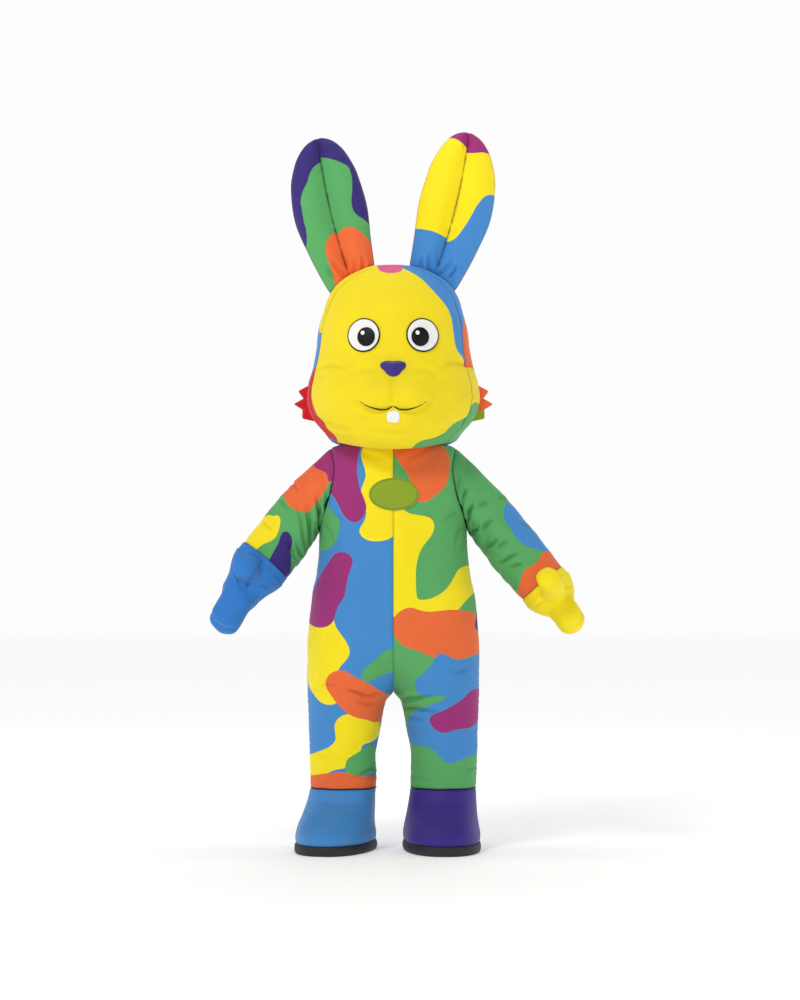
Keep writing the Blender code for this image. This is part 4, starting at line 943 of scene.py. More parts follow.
# A crease: depth and width of its trough, then places across and in height, all in millimetres.
SUIT_CREASES = {
    "front": (
        (10.9, 7.4,  -148, 504,  -115, 492,  -82, 478,  -30, 488),
        (7.3, 6.6,  -120, 468,  -85, 455,  -45, 458), (5.9, 7.4,  -235, 505,  -200, 515,  -165, 512),
        (10.9, 7,  20, 470,  60, 472,  100, 478,  130, 484),
        (9.1, 6.6,  30, 440,  75, 440,  115, 432,  152, 430), (5.5, 6.6,  40, 412,  75, 405,  110, 408),
        (5.5, 7.4,  165, 560,  200, 552,  238, 570), (9.1, 6.1,  -40, 262,  -75, 250,  -105, 235,  -128, 230),
        (7.3, 6.1,  -45, 236,  -80, 226,  -110, 222), (4.7, 6.6,  60, 225,  95, 220,  135, 222),
        (4.7, 6.6,  260, 262,  225, 250,  195, 252), (4.4, 7.4,  -250, 300,  -215, 288,  -180, 290),
        (5.1, 8.2,  -215, 1010,  -190, 975,  -180, 930), (4.7, 7.4,  -205, 1040,  -170, 1030,  -140, 1012),
        (5.1, 8.2,  215, 1010,  192, 968,  190, 925), (4.4, 7.4,  205, 1045,  172, 1032,  145, 1010),
        (2.5, 11,  -150, 690,  -90, 672,  -30, 668), (2.5, 11,  145, 620,  90, 605,  35, 590),
        (2.8, 9,  -110, 1240,  -70, 1215,  -25, 1205), (2.8, 9,  105, 1240,  70, 1220,  30, 1205),
    ),
    "back": (
        (10.9, 7.8,  -30, 500,  -80, 490,  -130, 492,  -180, 505),
        (10.9, 7.8,  30, 498,  75, 486,  125, 490,  185, 508), (8.2, 7.4,  -50, 460,  -100, 452,  -150, 460),
        (8.2, 7.4,  45, 462,  100, 450,  160, 462), (6.5, 7.4,  -240, 395,  -190, 380,  -130, 384),
        (6.5, 7.4,  245, 392,  185, 376,  120, 382), (5.5, 7.4,  -60, 352,  -110, 342,  -160, 348),
        (5.5, 7.4,  70, 350,  115, 338,  165, 344), (5.5, 9,  -30, 905,  -90, 893,  -160, 902),
        (5.5, 9,  35, 898,  100, 886,  165, 900), (4.4, 9,  -50, 935,  -110, 928,  -150, 936),
        (4.4, 9,  45, 940,  95, 930,  150, 938), (4.7, 8.2,  -215, 1015,  -190, 975,  -185, 930),
        (4.7, 8.2,  215, 1015,  190, 975,  182, 930), (6.2, 6.6,  -50, 250,  -95, 238,  -140, 240),
        (6.2, 6.6,  55, 246,  100, 234,  150, 240),
    ),
}
# Creases of a sleeve: depth and width in millimetres, then places along the arm in thousandths and round it
# in degrees, 0 on top and 90 at the front.
SLEEVE_LINES = {
    "left": (
        (7.6, 5.6,  15, 100,  50, 78,  85, 62), (9.4, 6,  10, 122,  75, 98,  135, 74,  175, 66),
        (11.2, 6.4,  15, 146,  95, 122,  175, 96,  240, 78),
        (8.1, 6,  40, 170,  140, 146,  230, 122,  290, 104), (6.7, 5.6,  240, 88,  300, 70,  345, 56),
        (7.6, 5.6,  300, 120,  370, 92,  430, 74), (9, 6,  330, 152,  410, 128,  480, 106,  520, 92),
        (7.1, 5.6,  500, 118,  560, 98,  610, 82), (9.4, 5.6,  560, 142,  630, 120,  690, 98,  720, 84),
        (7.6, 5.2,  690, 130,  750, 108,  800, 92), (6.3, 5.6,  380, 40,  430, 22,  470, 2),
        (5.3, 5.6,  600, 44,  650, 26,  690, 8), (7.6, 6.4,  20, 206,  110, 226,  190, 250),
        (6.7, 6.4,  30, 236,  110, 254,  180, 276), (8.1, 6.4,  260, 204,  350, 226,  430, 250),
        (6.7, 6,  420, 240,  480, 262,  530, 286), (7.1, 6,  560, 208,  640, 230,  700, 254),
        (6.3, 6,  720, 236,  780, 258,  820, 282),
    ),
    "right": (
        (14.6, 6.4,  20, 168,  80, 142,  150, 116,  205, 92,  235, 74), (7.1, 6,  15, 118,  60, 96,  110, 78),
        (7.1, 6.4,  300, 176,  330, 140,  345, 104,  350, 70),
        (6.3, 6.4,  440, 160,  455, 128,  462, 92,  455, 58), (5.9, 6.4,  380, 52,  400, 24,  410, -6),
        (5.9, 6.4,  545, 60,  560, 32,  570, 2), (6.3, 6,  560, 170,  590, 142,  605, 116),
        (6.7, 6,  690, 150,  710, 122,  715, 94), (5.9, 6,  760, 70,  780, 44,  785, 16),
        (7.6, 6.4,  30, 200,  110, 224,  180, 250), (6.7, 6.4,  240, 206,  310, 230,  370, 258),
        (6.7, 6.4,  430, 204,  490, 230,  540, 258), (6.3, 6,  610, 210,  660, 236,  700, 262),
        (5.9, 6,  180, 300,  230, 322,  270, 344),
    ),
}


def fine_heights():
    """Rows of a suit panel, with the hem, the armhole's ends and the neck drawn closer."""
    hem = HEM + np.array([0.0, 0.0012, 0.003, 0.0055, 0.009])
    legs = np.linspace(HEM + 0.014, CROTCH_HEIGHT, 46)
    joins = CROTCH_HEIGHT + (LEG_JOIN_HEIGHT - CROTCH_HEIGHT) * (np.arange(1, 33) / 32) ** 1.5
    body = np.linspace(LEG_JOIN_HEIGHT, ARMHOLE_BOTTOM, 46)[1:]
    armhole = ARMHOLE_MIDDLE - ARMHOLE_HALF_HEIGHT * np.cos(math.pi * np.arange(1, 49) / 48)
    yoke = np.linspace(ARMHOLE_TOP, SUIT_SECTIONS[-1][0], 14)[1:]
    return np.concatenate([hem, legs, joins, body, armhole, yoke])


def suit_piece(side_name, back):
    side = SIDES[side_name]
    name = f"suit_{'back' if back else 'front'}_{side_name}"
    heights = fine_heights()[:, None]
    edge = edge_share(heights, back)
    start = 1.0 if back else 0.0
    share = start + (edge - start) * graded(56)[None, :]
    heights = np.broadcast_to(heights, share.shape)
    plain = suit_points(heights, share)
    normals = suit_normals(heights, share)
    centre_gap = distance_along(plain, 1)
    side_gap = distance_along(plain, 1, from_end=True)
    hem_gap = distance_along(plain, 0)
    placed = plain * (side, 1, 1)
    relief = 0.0011 * waves(placed, 0.16, 5) + 0.0005 * waves(placed, 0.055, 9)
    relief *= smooth_step(np.minimum(centre_gap, side_gap) / 0.02)
    lines = [line for where in ("front", "back") for line in crease_lines(
        SUIT_CREASES[where], MILLI, lambda x, height: surface_of_suit(x, height, where == "back"), 4)]
    troughs = crease_depth(placed, lines)
    relief += troughs
    relief += seam_dip(centre_gap, 0.0022) + seam_dip(side_gap, 0.0030) + seam_dip(hem_gap, 0.0016, 0.0035)
    relief += puckers(side_gap, heights, 0.021, 3, 0.0008) + puckers(centre_gap, heights, 0.024, 4, 0.0005)
    below_head = 1 - smooth_step((heights - 1.235) / 0.02)
    relief *= below_head
    # where the legs join the cloth stands a little out, so that nothing sinks into the seam
    meets = smooth_step((LEG_JOIN_HEIGHT - heights) / 0.08)
    meets = meets * smooth_step((heights - CROTCH_HEIGHT + 0.01) / 0.01)
    meets = meets * np.exp(-(centre_gap / 0.016) ** 2)
    relief += (0.0016 - relief) * meets
    # over the boot's shaft only shallow creases have room
    over_boot = 1 - smooth_step((hem_gap - BOOT_TUCK - 0.004) / 0.02)
    relief = np.maximum(relief, -0.020 + 0.0182 * over_boot)
    outer = plain + relief[..., None] * normals
    inner = plain - CLOTH * normals
    inner = np.where((relief < 0)[..., None], inner + relief[..., None] * normals, inner)
    for grid in (outer, inner):
        grid[..., 0] = np.maximum(grid[..., 0], GAP / 2)
        grid[..., 1] = np.maximum(grid[..., 1], GAP / 2) if back else np.minimum(grid[..., 1], -GAP / 2)
        grid *= (side, 1, 1)
    # painted shade: darker along the centre seam, side seam and hem, and at the bottom of the creases
    seam = np.maximum(0.6 * seam_shade(centre_gap), seam_shade(side_gap))
    seam = np.maximum(seam, 0.7 * seam_shade(hem_gap))
    seam = np.maximum(seam, trough_shade(troughs) * below_head)
    base, layers = SUIT_PRINTS[name]
    seed = 11 + 2 * back + (side > 0)
    fields = print_fields(np.stack([outer[..., 0], outer[..., 2]], axis=-1), layers, seed)
    fields["seam"] = seam
    piece = shell(f"{name}_cloth", outer, inner, cloth_material(f"{name}_print", base, layers), fields)
    stand_for(name)


# Sleeves

SLEEVE_COLUMNS = 132
TUCK_ROWS = 3
HIGHEST_SLEEVE_FOLD = 0.0055


def sleeve_piece(side_name):
    side = SIDES[side_name]
    name = f"sleeve_{side_name}"
    start, wrist, along_axis, _, _ = arm_frame(side_name)
    length = float(np.linalg.norm(wrist - start))
    share = graded(74, (0.003, 0.008, 0.015, 0.025))[:, None]
    share, angle = np.broadcast_arrays(share, full_turn(SLEEVE_COLUMNS)[None, :])
    plain = sleeve_points(side_name, share, angle)
    normals = grid_normals(plain) * side
    start_gap = distance_along(plain, 0)
    end_gap = distance_along(plain, 0, from_end=True)
    radius = 0.5 * np.linalg.norm(plain[:, 0] - plain[:, SLEEVE_COLUMNS // 2], axis=-1)[:, None]
    under_gap = np.abs(angle - math.pi) * radius
    lines = crease_lines(SLEEVE_LINES[side_name], (MILLI, 1),
                         lambda place, turn: sleeve_points(side_name, place, np.radians(turn)))
    relief = 0.0012 * waves(plain, 0.12, 21) + 0.0006 * waves(plain, 0.045, 22)
    relief *= smooth_step(np.minimum(start_gap, end_gap) / 0.03)
    troughs = crease_depth(plain, lines)
    relief += troughs
    relief += seam_dip(start_gap, 0.0024) + seam_dip(end_gap, 0.0008, 0.003) + seam_dip(under_gap, 0.0018)
    relief += puckers(start_gap, angle * radius, 0.026, 31, 0.0012, 0.020)
    relief += puckers(end_gap, angle * radius, 0.030, 32, 0.0009, 0.016)
    relief = np.minimum(relief, HIGHEST_SLEEVE_FOLD)
    outer = plain + relief[..., None] * normals
    inner = plain + (np.minimum(relief, 0.0) - CLOTH)[..., None] * normals
    tuck = np.linspace(0.0, 1.0, TUCK_ROWS + 1)[1:, None, None] * SLEEVE_TUCK * along_axis
    shrink = 0.0004 * normals[-1]
    outer = np.concatenate([outer, outer[-1:] + tuck - shrink])
    inner = np.concatenate([inner, inner[-1:] + tuck])
    around = np.where(angle > math.pi, angle - 2 * math.pi, angle) * radius
    around = np.concatenate([around] + [around[-1:]] * TUCK_ROWS)
    distance = np.concatenate([share * length, np.full((TUCK_ROWS, SLEEVE_COLUMNS), length)])
    base, layers = SLEEVE_PRINTS[name]
    fields = print_fields(np.stack([distance, around], axis=-1), layers, 41 + (side > 0))
    # painted shade: darker along the armhole seam, the under-arm seam and the cuff, and at the bottom of the
    # creases
    seam = np.maximum(0.7 * seam_shade(start_gap), 0.6 * seam_shade(under_gap))
    seam = np.maximum(np.maximum(seam, 0.8 * seam_shade(end_gap)), trough_shade(troughs))
    fields["seam"] = np.concatenate([seam] + [seam[-1:]] * TUCK_ROWS)
    material = cloth_material(f"{name}_print", base, layers)
    piece = shell(f"{name}_cloth", outer, inner, material, fields, wrap=True)
    stand_for(name)


# Gloves

GLOVE_COLUMNS = 144
GLOVE_ROWS = 66
GLOVE_CAP_ROWS = 20
CUFF_ROWS = 7
DEEPEST_GLOVE_FOLD = 0.0052
GLOVE_CREASES = {           # as for the sleeves, from 0 at the cuff to 1000 at the fingertips
    "left": (
        (4, 4.9,  20, 130,  50, 112,  100, 100), (3.7, 4.9,  200, 150,  260, 128,  320, 112),
        (3.4, 4.9,  340, 60,  380, 44,  420, 26), (3.4, 5.3,  180, 215,  240, 240,  280, 268),
        (3.1, 4.9,  400, 205,  440, 232,  460, 262),
    ),
    "right": (
        (4, 4.9,  20, 128,  60, 110,  120, 96), (4.3, 4.9,  240, 150,  300, 126,  360, 108),
        (3.4, 4.9,  360, 58,  400, 40,  440, 22), (3.4, 5.3,  160, 220,  220, 244,  280, 270),
        (3.1, 4.9,  420, 208,  460, 234,  480, 264),
    ),
}


def glove_grid(side_name, rows, cap_rows, columns, inset):
    """Rings of a glove's outside, from its cuff to its fingertips; some rays lean back to the thumb's top."""
    arm = ARMS[side_name]
    _, wrist, along, upper, front = arm_frame(side_name)
    angles = full_turn(columns)
    across = np.cos(angles)[:, None] * upper + np.sin(angles)[:, None] * front
    radius = arm["radius"] + GAP + GLOVE_CLOTH - inset
    rings = [wrist + along * place + radius * across for place in np.linspace(0.0, SLEEVE_TUCK, CUFF_ROWS)]
    tip = np.array((arm["tip"][0], -HAND_FORWARD - TIP_FORWARD, arm["tip"][1]))
    heel = wrist + along * SLEEVE_TUCK
    turn = math.atan2(THUMB_FORWARD, (np.array((arm["thumb"][0], wrist[1], arm["thumb"][1])) - wrist) @ upper)
    near = smooth_step((THUMB_SPAN[0] - np.abs(np.degrees(angles - turn))) / THUMB_SPAN[1])
    rays = []
    for share in np.arange(1, rows + 1) / rows:
        place = share + near * (max(0.0, (share - THUMB_ROWS) / (1 - THUMB_ROWS)) - share)
        lean = np.radians(near * arm["lean"] * max(0.0, 1 - share / THUMB_ROWS))
        cores = heel + (tip - heel) * place[:, None] * 0.93
        rays.append((cores, np.cos(lean)[:, None] * across - np.sin(lean)[:, None] * along))
    for row in range(1, cap_rows + 1):
        tilt = math.pi / 2 * row / cap_rows
        rays.append((cores, math.cos(tilt) * across + math.sin(tilt) * along))
    reaches = np.linspace(0.0, 0.24, 121)
    for cores, directions in rays:
        samples = cores[:, None, :] + directions[:, None, :] * reaches[None, :, None]
        inside = hand_distance(side_name, samples) + inset < 0
        last = len(reaches) - 1 - np.argmax(inside[:, ::-1], axis=1)
        low, high = reaches[last], reaches[np.minimum(last + 1, len(reaches) - 1)]
        for _ in range(12):
            middle = (low + high) / 2
            held = hand_distance(side_name, cores + directions * middle[:, None]) + inset < 0
            low, high = np.where(held, middle, low), np.where(held, high, middle)
        rings.append(cores + directions * low[:, None])
    return np.array(rings)


def grid_at(grid, row, column):
    """Points of a closed grid at rows and columns that may lie between its own."""
    low_row = np.clip(row.astype(int), 0, len(grid) - 2)
    low_column = np.floor(column).astype(int)
    down = (row - low_row)[:, None]
    across = (column - low_column)[:, None]
    first, second = low_column % grid.shape[1], (low_column + 1) % grid.shape[1]
    upper = grid[low_row, first] * (1 - across) + grid[low_row, second] * across
    lower = grid[low_row + 1, first] * (1 - across) + grid[low_row + 1, second] * across
    return upper * (1 - down) + lower * down


def glove_piece(side_name, material):
    side = SIDES[side_name]
    name = f"glove_{side_name}"
    plain = glove_grid(side_name, GLOVE_ROWS, GLOVE_CAP_ROWS, GLOVE_COLUMNS, 0.0)
    normals = grid_normals(plain) * side
    normals[-1] = arm_frame(side_name)[2]
    start_gap = distance_along(plain, 0)
    lines = crease_lines(GLOVE_CREASES[side_name], (MILLI, 1), lambda place, turn: grid_at(
        plain, place * (len(plain) - GLOVE_CAP_ROWS), turn * GLOVE_COLUMNS / 360))
    relief = 0.0010 * waves(plain, 0.07, 51 + side) + 0.0004 * waves(plain, 0.03, 53)
    relief *= smooth_step(start_gap / 0.03)
    troughs = crease_depth(plain, lines)
    relief += troughs
    relief += seam_dip(start_gap, 0.0014, 0.003)
    around = np.arange(GLOVE_COLUMNS)[None, :] * 0.0037 + 0 * start_gap
    relief += puckers(start_gap, around, 0.024, 61, 0.0007, 0.014)
    relief = np.maximum(relief, -DEEPEST_GLOVE_FOLD)
    outer = plain + relief[..., None] * normals
    inner = outer - GLOVE_CLOTH * normals
    inner[:CUFF_ROWS] = glove_grid(side_name, 2, 1, GLOVE_COLUMNS, GLOVE_CLOTH)[:CUFF_ROWS]
    outer[:CUFF_ROWS] = np.where((relief[:CUFF_ROWS] < 0)[..., None], plain[:CUFF_ROWS], outer[:CUFF_ROWS])
    # painted shade: darker at the cuff and at the bottom of the creases
    fields = {"seam": np.maximum(0.8 * seam_shade(start_gap), 1.4 * trough_shade(troughs))}
    piece = shell(f"{name}_cloth", outer, inner, material, fields, wrap=True, weld=True)
    stand_for(name)


# Boots and soles

BOOT_COLUMN_COUNT = 176
BOOT_CREASES = (            # heights in millimetres, and degrees from the inside edge round the toe
    (3, 8,  158, 50,  150, 75,  152, 100,  160, 125), (2.4, 8,  128, 30,  122, 50,  124, 70),
    (2.2, 8,  130, 112,  122, 132,  126, 152), (2.4, 8,  150, 215,  142, 245,  144, 275,  152, 305),
    (2, 8,  110, 235,  104, 265,  108, 295),
)


def shaft_points(side, height, share, inset):
    point = suit_points(height, share) - inset * suit_normals(height, share)
    return point * (side, 1, 1)


def boot_piece(side_name, material):
    side = SIDES[side_name]
    name = f"boot_{side_name}"
    angles = full_turn(BOOT_COLUMN_COUNT)
    heights = np.concatenate([np.linspace(0.186, 0.176, 5), np.linspace(0.172, 0.034, 40), [0.0318, 0.0303]])

    def at(height, angle):
        turn = BOOT["turn"](height)
        points = boot_points(side, BOOT["half_width"](height), BOOT["toe"](height), BOOT["heel"](height),
                             BOOT["roundness"](height), BOOT_YAW[side_name] * turn, angle, height)
        points[..., 0] += BOOT_SHIFT[side_name] * turn
        return points

    plain = at(*np.broadcast_arrays(heights[:, None], angles[None, :]))
    share = angles / (2 * math.pi)
    collar = np.array([shaft_points(side, np.full(len(share), height), share, CLOTH + 2 * GAP)
                       for height in (HEM + BOOT_TUCK, HEM + BOOT_TUCK / 2, HEM, HEM - CLOTH)])
    collar[-1, :, 2] = HEM - CLOTH
    plain = np.concatenate([collar, plain])
    normals = -grid_normals(plain) * side
    if (normals[20, 44] @ (plain[20, 44] - plain[20].mean(axis=0))) < 0:
        normals = -normals
    bottom_gap = distance_along(plain, 0, from_end=True)
    relief = 0.0012 * waves(plain, 0.10, 71 + side)
    relief += crease_depth(plain, crease_lines(BOOT_CREASES, (MILLI, 1),
                                               lambda height, turn: at(height, np.radians(turn))))
    rows = np.arange(len(plain))[:, None]
    relief *= smooth_step((rows - 4) / 5.0)
    relief += seam_dip(bottom_gap, 0.0022, 0.004) * (rows > 10)
    outer = plain + relief[..., None] * normals
    inner = outer - BOOT_CLOTH * normals
    inner[..., 2] = outer[..., 2]
    # painted shade: darker along the foot, where the boot meets the sole
    piece = shell(f"{name}_cloth", outer, inner, material, {"seam": 0.8 * seam_shade(bottom_gap)}, wrap=True)
    stand_for(name)


def sole_piece(side_name, material):
    side = SIDES[side_name]
    name = f"sole_{side_name}"
    angles = full_turn(BOOT_COLUMN_COUNT)
    rows = [(0.0, 0.030), (0.0, 0.012)]
    for turn in np.linspace(-90, 90, 13):
        rise = SOLE_THICKNESS / 2 + (SOLE_THICKNESS / 2) * math.sin(math.radians(turn))
        rows.append((rise, 0.0075 * (1 - math.cos(math.radians(turn)) ** 0.8)))
    rows.append((SOLE_THICKNESS, 0.016))
    rings = [boot_points(side, SOLE_HALF_WIDTH - inset, SOLE_TOE - inset, SOLE_HEEL - inset, SOLE_ROUNDNESS,
                         BOOT_YAW[side_name], angles, np.full(len(angles), height)) for height, inset in rows]
    rings = np.array(rings) + (BOOT_SHIFT[side_name], 0, 0)
    piece = add_piece(f"{name}_rubber", rings, tube_faces(len(rings), len(angles)), material)
    stand_for(name)


ASIDE = (0.31, 0.52, 0.79)  # a direction that no band runs along


def tube_along(name, line, radius, material, closed=False, sides=8):
    """A thin round band along a line of points."""
    count = len(line)
    ahead = np.roll(line, -1, axis=0) - np.roll(line, 1, axis=0) if closed else np.gradient(line, axis=0)
    ahead /= np.linalg.norm(ahead, axis=1, keepdims=True)
    first = np.cross(ahead, ASIDE)
    first /= np.linalg.norm(first, axis=1, keepdims=True)
    second = np.cross(ahead, first)
    radius = np.broadcast_to(np.asarray(radius, float), (count,))
    turns = full_turn(sides)
    rings = (line[:, None] + radius[:, None, None] * (
        np.cos(turns)[None, :, None] * first[:, None] + np.sin(turns)[None, :, None] * second[:, None]))
    faces = tube_faces(count, sides, caps=not closed)
    if closed:
        last = (count - 1) * sides
        faces += [[last + i, last + (i + 1) % sides, (i + 1) % sides, i] for i in range(sides)]
    add_piece(name, rings, faces, material)


# Head
# Prints of the head: a place is across, in depth and in height.

FACE_PRINT = ("cheek", (
    ("blue", (62, -50, 1842, 74,  178, -92, 1735, 78,  240, -105, 1630, 82,  250, -105, 1570, 80)),
    ("orange", (262, -60, 1565, 74,  262, -60, 1500, 74)),
    ("pink", (0, -122, 1806, 46,  4, -20, 1830, 52)),
    ("cheek", (190, -140, 1425, 68,  255, -70, 1425, 70,  225, -120, 1370, 60)),
    ("green", (90, -180, 1232, 40,  165, -140, 1262, 62,  236, -92, 1310, 62)),
    ("red", (-262, -60, 1520, 44,  -268, -70, 1440, 46,  -262, -70, 1370, 56,  -215, -90, 1290, 50)),
))
HEAD_PRINT = ("blue", (
    ("orange", (262, -60, 1565, 74,  262, -60, 1500, 74,  245, 30, 1515, 60),
     (-190, 140, 1640, 50,  -120, 190, 1600, 55)),
    ("cheek", (190, -140, 1425, 68,  255, -70, 1425, 70,  225, -120, 1370, 60),
     (-80, -80, 1815, 60,  -170, -70, 1745, 74,  -222, -80, 1660, 56)),
    ("green", (165, -140, 1262, 62,  236, -92, 1310, 62,  225, -10, 1340, 58,  200, 60, 1330, 60),
     (-60, 215, 1480, 55,  -120, 190, 1430, 50)),
    ("pink", (0, -122, 1806, 46,  4, -20, 1830, 52,  -35, 50, 1805, 50)),
    ("magenta", (130, 180, 1470, 52,  75, 215, 1410, 50,  20, 215, 1370, 42)),
    ("yellow", (110, 175, 1660, 58,  35, 215, 1610, 60,  10, 190, 1710, 45),
     (-205, 20, 1730, 50,  -150, -40, 1775, 46)),
    ("red", (-245, -130, 1470, 50,  -262, -60, 1420, 55,  -235, -80, 1330, 60,  -190, 0, 1300, 55)),
    ("purple", (-80, 170, 1300, 50,  -20, 190, 1280, 46), (245, 90, 1620, 34,  225, 100, 1660, 36)),
))
# Creases: depth and width in millimetres, then ring and degrees from the front, + to the wearer's left.
HEAD_CREASES = (
    (3.2, 8,  4.6, 68,  4.1, 62,  3.5, 57,  2.9, 52), (2.4, 8,  5, 82,  4.3, 76,  3.6, 71),
    (2.6, 8,  4.4, -70,  3.8, -64,  3.2, -58), (2.4, 9,  13.7, 44,  13.2, 52,  12.6, 58,  12, 62),
    (2.4, 9,  13.6, -46,  13, -54,  12.4, -60), (2.2, 9,  13.2, 100,  12.6, 104,  12, 110),
    (2.2, 9,  13.2, -102,  12.5, -106,  11.9, -112), (2.4, 9,  13.4, 140,  12.9, 150,  12.5, 162),
    (2.4, 9,  13.4, -142,  12.8, -152,  12.4, -164), (3, 9,  3.9, 125,  3.5, 132,  3.1, 140),
    (3, 9,  4, -128,  3.5, -136,  3.1, -144), (3, 9,  3.8, 168,  3.3, 172,  2.8, 178),
)
# Creases of the face: depth and width, then places across and in height, all in millimetres.
FACE_CREASES = (
    (9, 10,  4, 1352,  40, 1337,  80, 1343,  114, 1366,  134, 1400),
    (9, 10,  -4, 1352,  -40, 1337,  -80, 1343,  -114, 1366,  -134, 1400),
    (6, 11,  44, 1460,  78, 1470,  112, 1462,  136, 1438),
    (6, 11,  -44, 1460,  -78, 1470,  -112, 1462,  -136, 1438), (8, 8,  0, 1450,  1, 1420,  0, 1385,  0, 1356),
    (8.5, 10,  140, 1474,  172, 1490,  206, 1496,  238, 1490),
    (8.5, 10,  -140, 1472,  -170, 1488,  -202, 1494,  -232, 1488),
    (6.5, 10,  236, 1340,  205, 1315,  165, 1296,  120, 1286),
    (6.5, 10,  -236, 1338,  -205, 1312,  -165, 1294,  -118, 1284),
    (4.5, 9,  60, 1282,  20, 1274,  -26, 1274,  -64, 1284),
)


def head_crease_lines():
    lines = []
    for depth, width, *places in FACE_CREASES:
        places = np.reshape(places, (-1, 2)) / MILLI
        lines.append((line_on(surface_of_face, places, 0.0, 6 * len(places)), depth / MILLI, width / MILLI))
    return lines + crease_lines(HEAD_CREASES, 1, lambda ring, turn: head_points(ring, np.radians(turn)))


def head_piece(back, material):
    name = "head_back" if back else "head_face"
    top = face_top_ring()
    low = np.concatenate([np.linspace(0, 1, 6)[:-1], np.linspace(1, top - 1.2, 88)])
    near_top = top - 1.2 * (1 - np.arange(1, 21) / 20) ** 1.6
    rings = np.concatenate([low, near_top])
    if back:
        rings = np.concatenate([rings, top + (CROWN_RING - top) * (1 - (1 - np.arange(1, 17) / 16) ** 1.7)])
    ring = rings[:, None]
    slack = GAP * 0.75 / np.maximum(0.05, HEAD["half_width"](np.maximum(1.0, ring)))
    columns = graded(130 if back else 84, (0.004, 0.009, 0.015, 0.022))[None, :]
    left, right = face_edge(ring, "left"), face_edge(ring, "right")
    if back:
        angle = (left + slack) + (2 * math.pi - right - left - 2 * slack) * columns
    else:
        left, right = np.maximum(left - slack, 0), np.maximum(right - slack, 0)
        angle = -right + (left + right) * columns
    ring = np.broadcast_to(ring, angle.shape)
    plain = head_points(ring, angle)
    normals = head_normals(ring, angle)
    first_gap = distance_along(plain, 1)
    last_gap = distance_along(plain, 1, from_end=True)
    # the back closes over the crown above the face panel: no seam runs there
    first_gap = np.where(ring >= top + 0.001, NO_SEAM, first_gap)
    last_gap = np.where(ring > top, NO_SEAM, last_gap)
    seam_gap = np.minimum(first_gap, last_gap)
    relief = 0.0013 * waves(plain, 0.20, 81) + 0.0004 * waves(plain, 0.06, 82)
    relief *= smooth_step((ring - 1.0) / 1.5) * smooth_step(seam_gap / 0.03)
    relief += crease_depth(plain, head_crease_lines())
    relief += seam_dip(seam_gap, 0.0022, 0.0050)
    relief += puckers(seam_gap, plain[..., 2], 0.030, 83, 0.0004, 0.018)
    relief *= smooth_step(ring - 0.6)
    relief *= 1 - pad_zone(plain)
    outer = plain + relief[..., None] * normals
    _, layers = HEAD_PRINT if back else FACE_PRINT
    # painted shade: darker along the seams between the face and the back of the head
    fields = {"seam": seam_shade(seam_gap) * smooth_step(ring - 1.0), **print_fields(plain, layers, 91)}
    piece = shell(f"{name}_cloth", outer, outer - HEAD_WALL * normals, material, fields, weld=True)
    stand_for(name)


def pad_zone(points):
    """1 where a pad of the face lies, so that the cloth under it is plain."""
    zone = np.zeros(points.shape[:-1])
    front = points[..., 1] < -0.1
    for spec, sides in ((EYE, (1, -1)), (NOSE, (1,)), (TEETH, (1,))):
        for side in sides:
            across = (points[..., 0] - side * spec["at"][0]) / (spec["size"][0] + 0.006)
            up = (points[..., 2] - spec["at"][1]) / (spec["size"][1] + 0.006)
            reach = np.sqrt(across ** 2 + up ** 2)
            zone = np.maximum(zone, np.where(front, 1 - smooth_step((reach - 1.0) / 0.25), 0.0))
    return zone


def face_pad(name, spec, shape, lift, thickness, crown, material, rings=12, steps=72, surface=surface_of_face,
             edge=0.0016):
    """A pad on a surface with a rounded edge and a crowned top; its underside lies just in the cloth."""
    at, size = spec["at"], spec["size"]
    across, up = shape(full_turn(steps))
    top = lift + thickness
    shares = [1 - ring / rings for ring in range(rings, 0, -1)] + [1.0, 1.0]
    lifts = [lift] * (rings + 1) + [top - edge]
    for bend in np.linspace(0.5, math.pi / 2, 4):
        shares.append(1 - (edge / min(size)) * (1 - math.cos(bend)))
        lifts.append(top - edge + edge * math.sin(bend))
    inner_share = shares[-1]
    for ring in range(1, rings + 1):
        shares.append(inner_share * (1 - ring / rings))
        lifts.append(top + crown * (1 - (shares[-1] / inner_share) ** 2))
    share = np.array(shares)[:, None]
    x = at[0] + size[0] * across[None, :] * share
    height = at[1] + size[1] * up[None, :] * share
    grid = surface(x, height) + np.array(lifts)[:, None, None] * surface_normals(surface, x, height)
    return add_piece(name, grid, tube_faces(len(grid), steps, caps=False), material, weld=True)


def oval(angle):
    return np.cos(angle), np.sin(angle)


def soft_triangle(angle):
    radius = 1 + 0.16 * np.cos(3 * (angle - math.pi / 2 + math.pi / 3))
    return radius * np.cos(angle), radius * np.sin(angle)


def soft_square(angle):
    return signed_power(np.cos(angle), 0.6), signed_power(np.sin(angle), 0.6)


def lifted(surface, x, height, lift):
    """Points a little above a surface."""
    return surface(x, height) + lift * surface_normals(surface, x, height)


def line_on(surface, places, lift, count=60):
    """A smooth line over a surface through places across and in height, a little above it."""
    steps = np.linspace(0, len(places) - 1, count)
    across, height = (smooth_through(values, steps) for values in np.array(places).T)
    return lifted(surface, across, height, lift)


def smooth_through(values, steps):
    """Catmull-Rom values through a row of numbers."""
    padded = np.concatenate([[2 * values[0] - values[1]], values, [2 * values[-1] - values[-2]]])
    cell = np.clip(steps.astype(int), 0, len(values) - 2)
    t = steps - cell
    a, b, c, d = (padded[cell + step] for step in range(4))
    square = (2 * a - 5 * b + 4 * c - d) * t ** 2
    cube = (3 * b - a - 3 * c + d) * t ** 3
    return 0.5 * (2 * b + (c - a) * t + square + cube)


# Ears
# Prints of an ear: a place is across it and along it from its base.

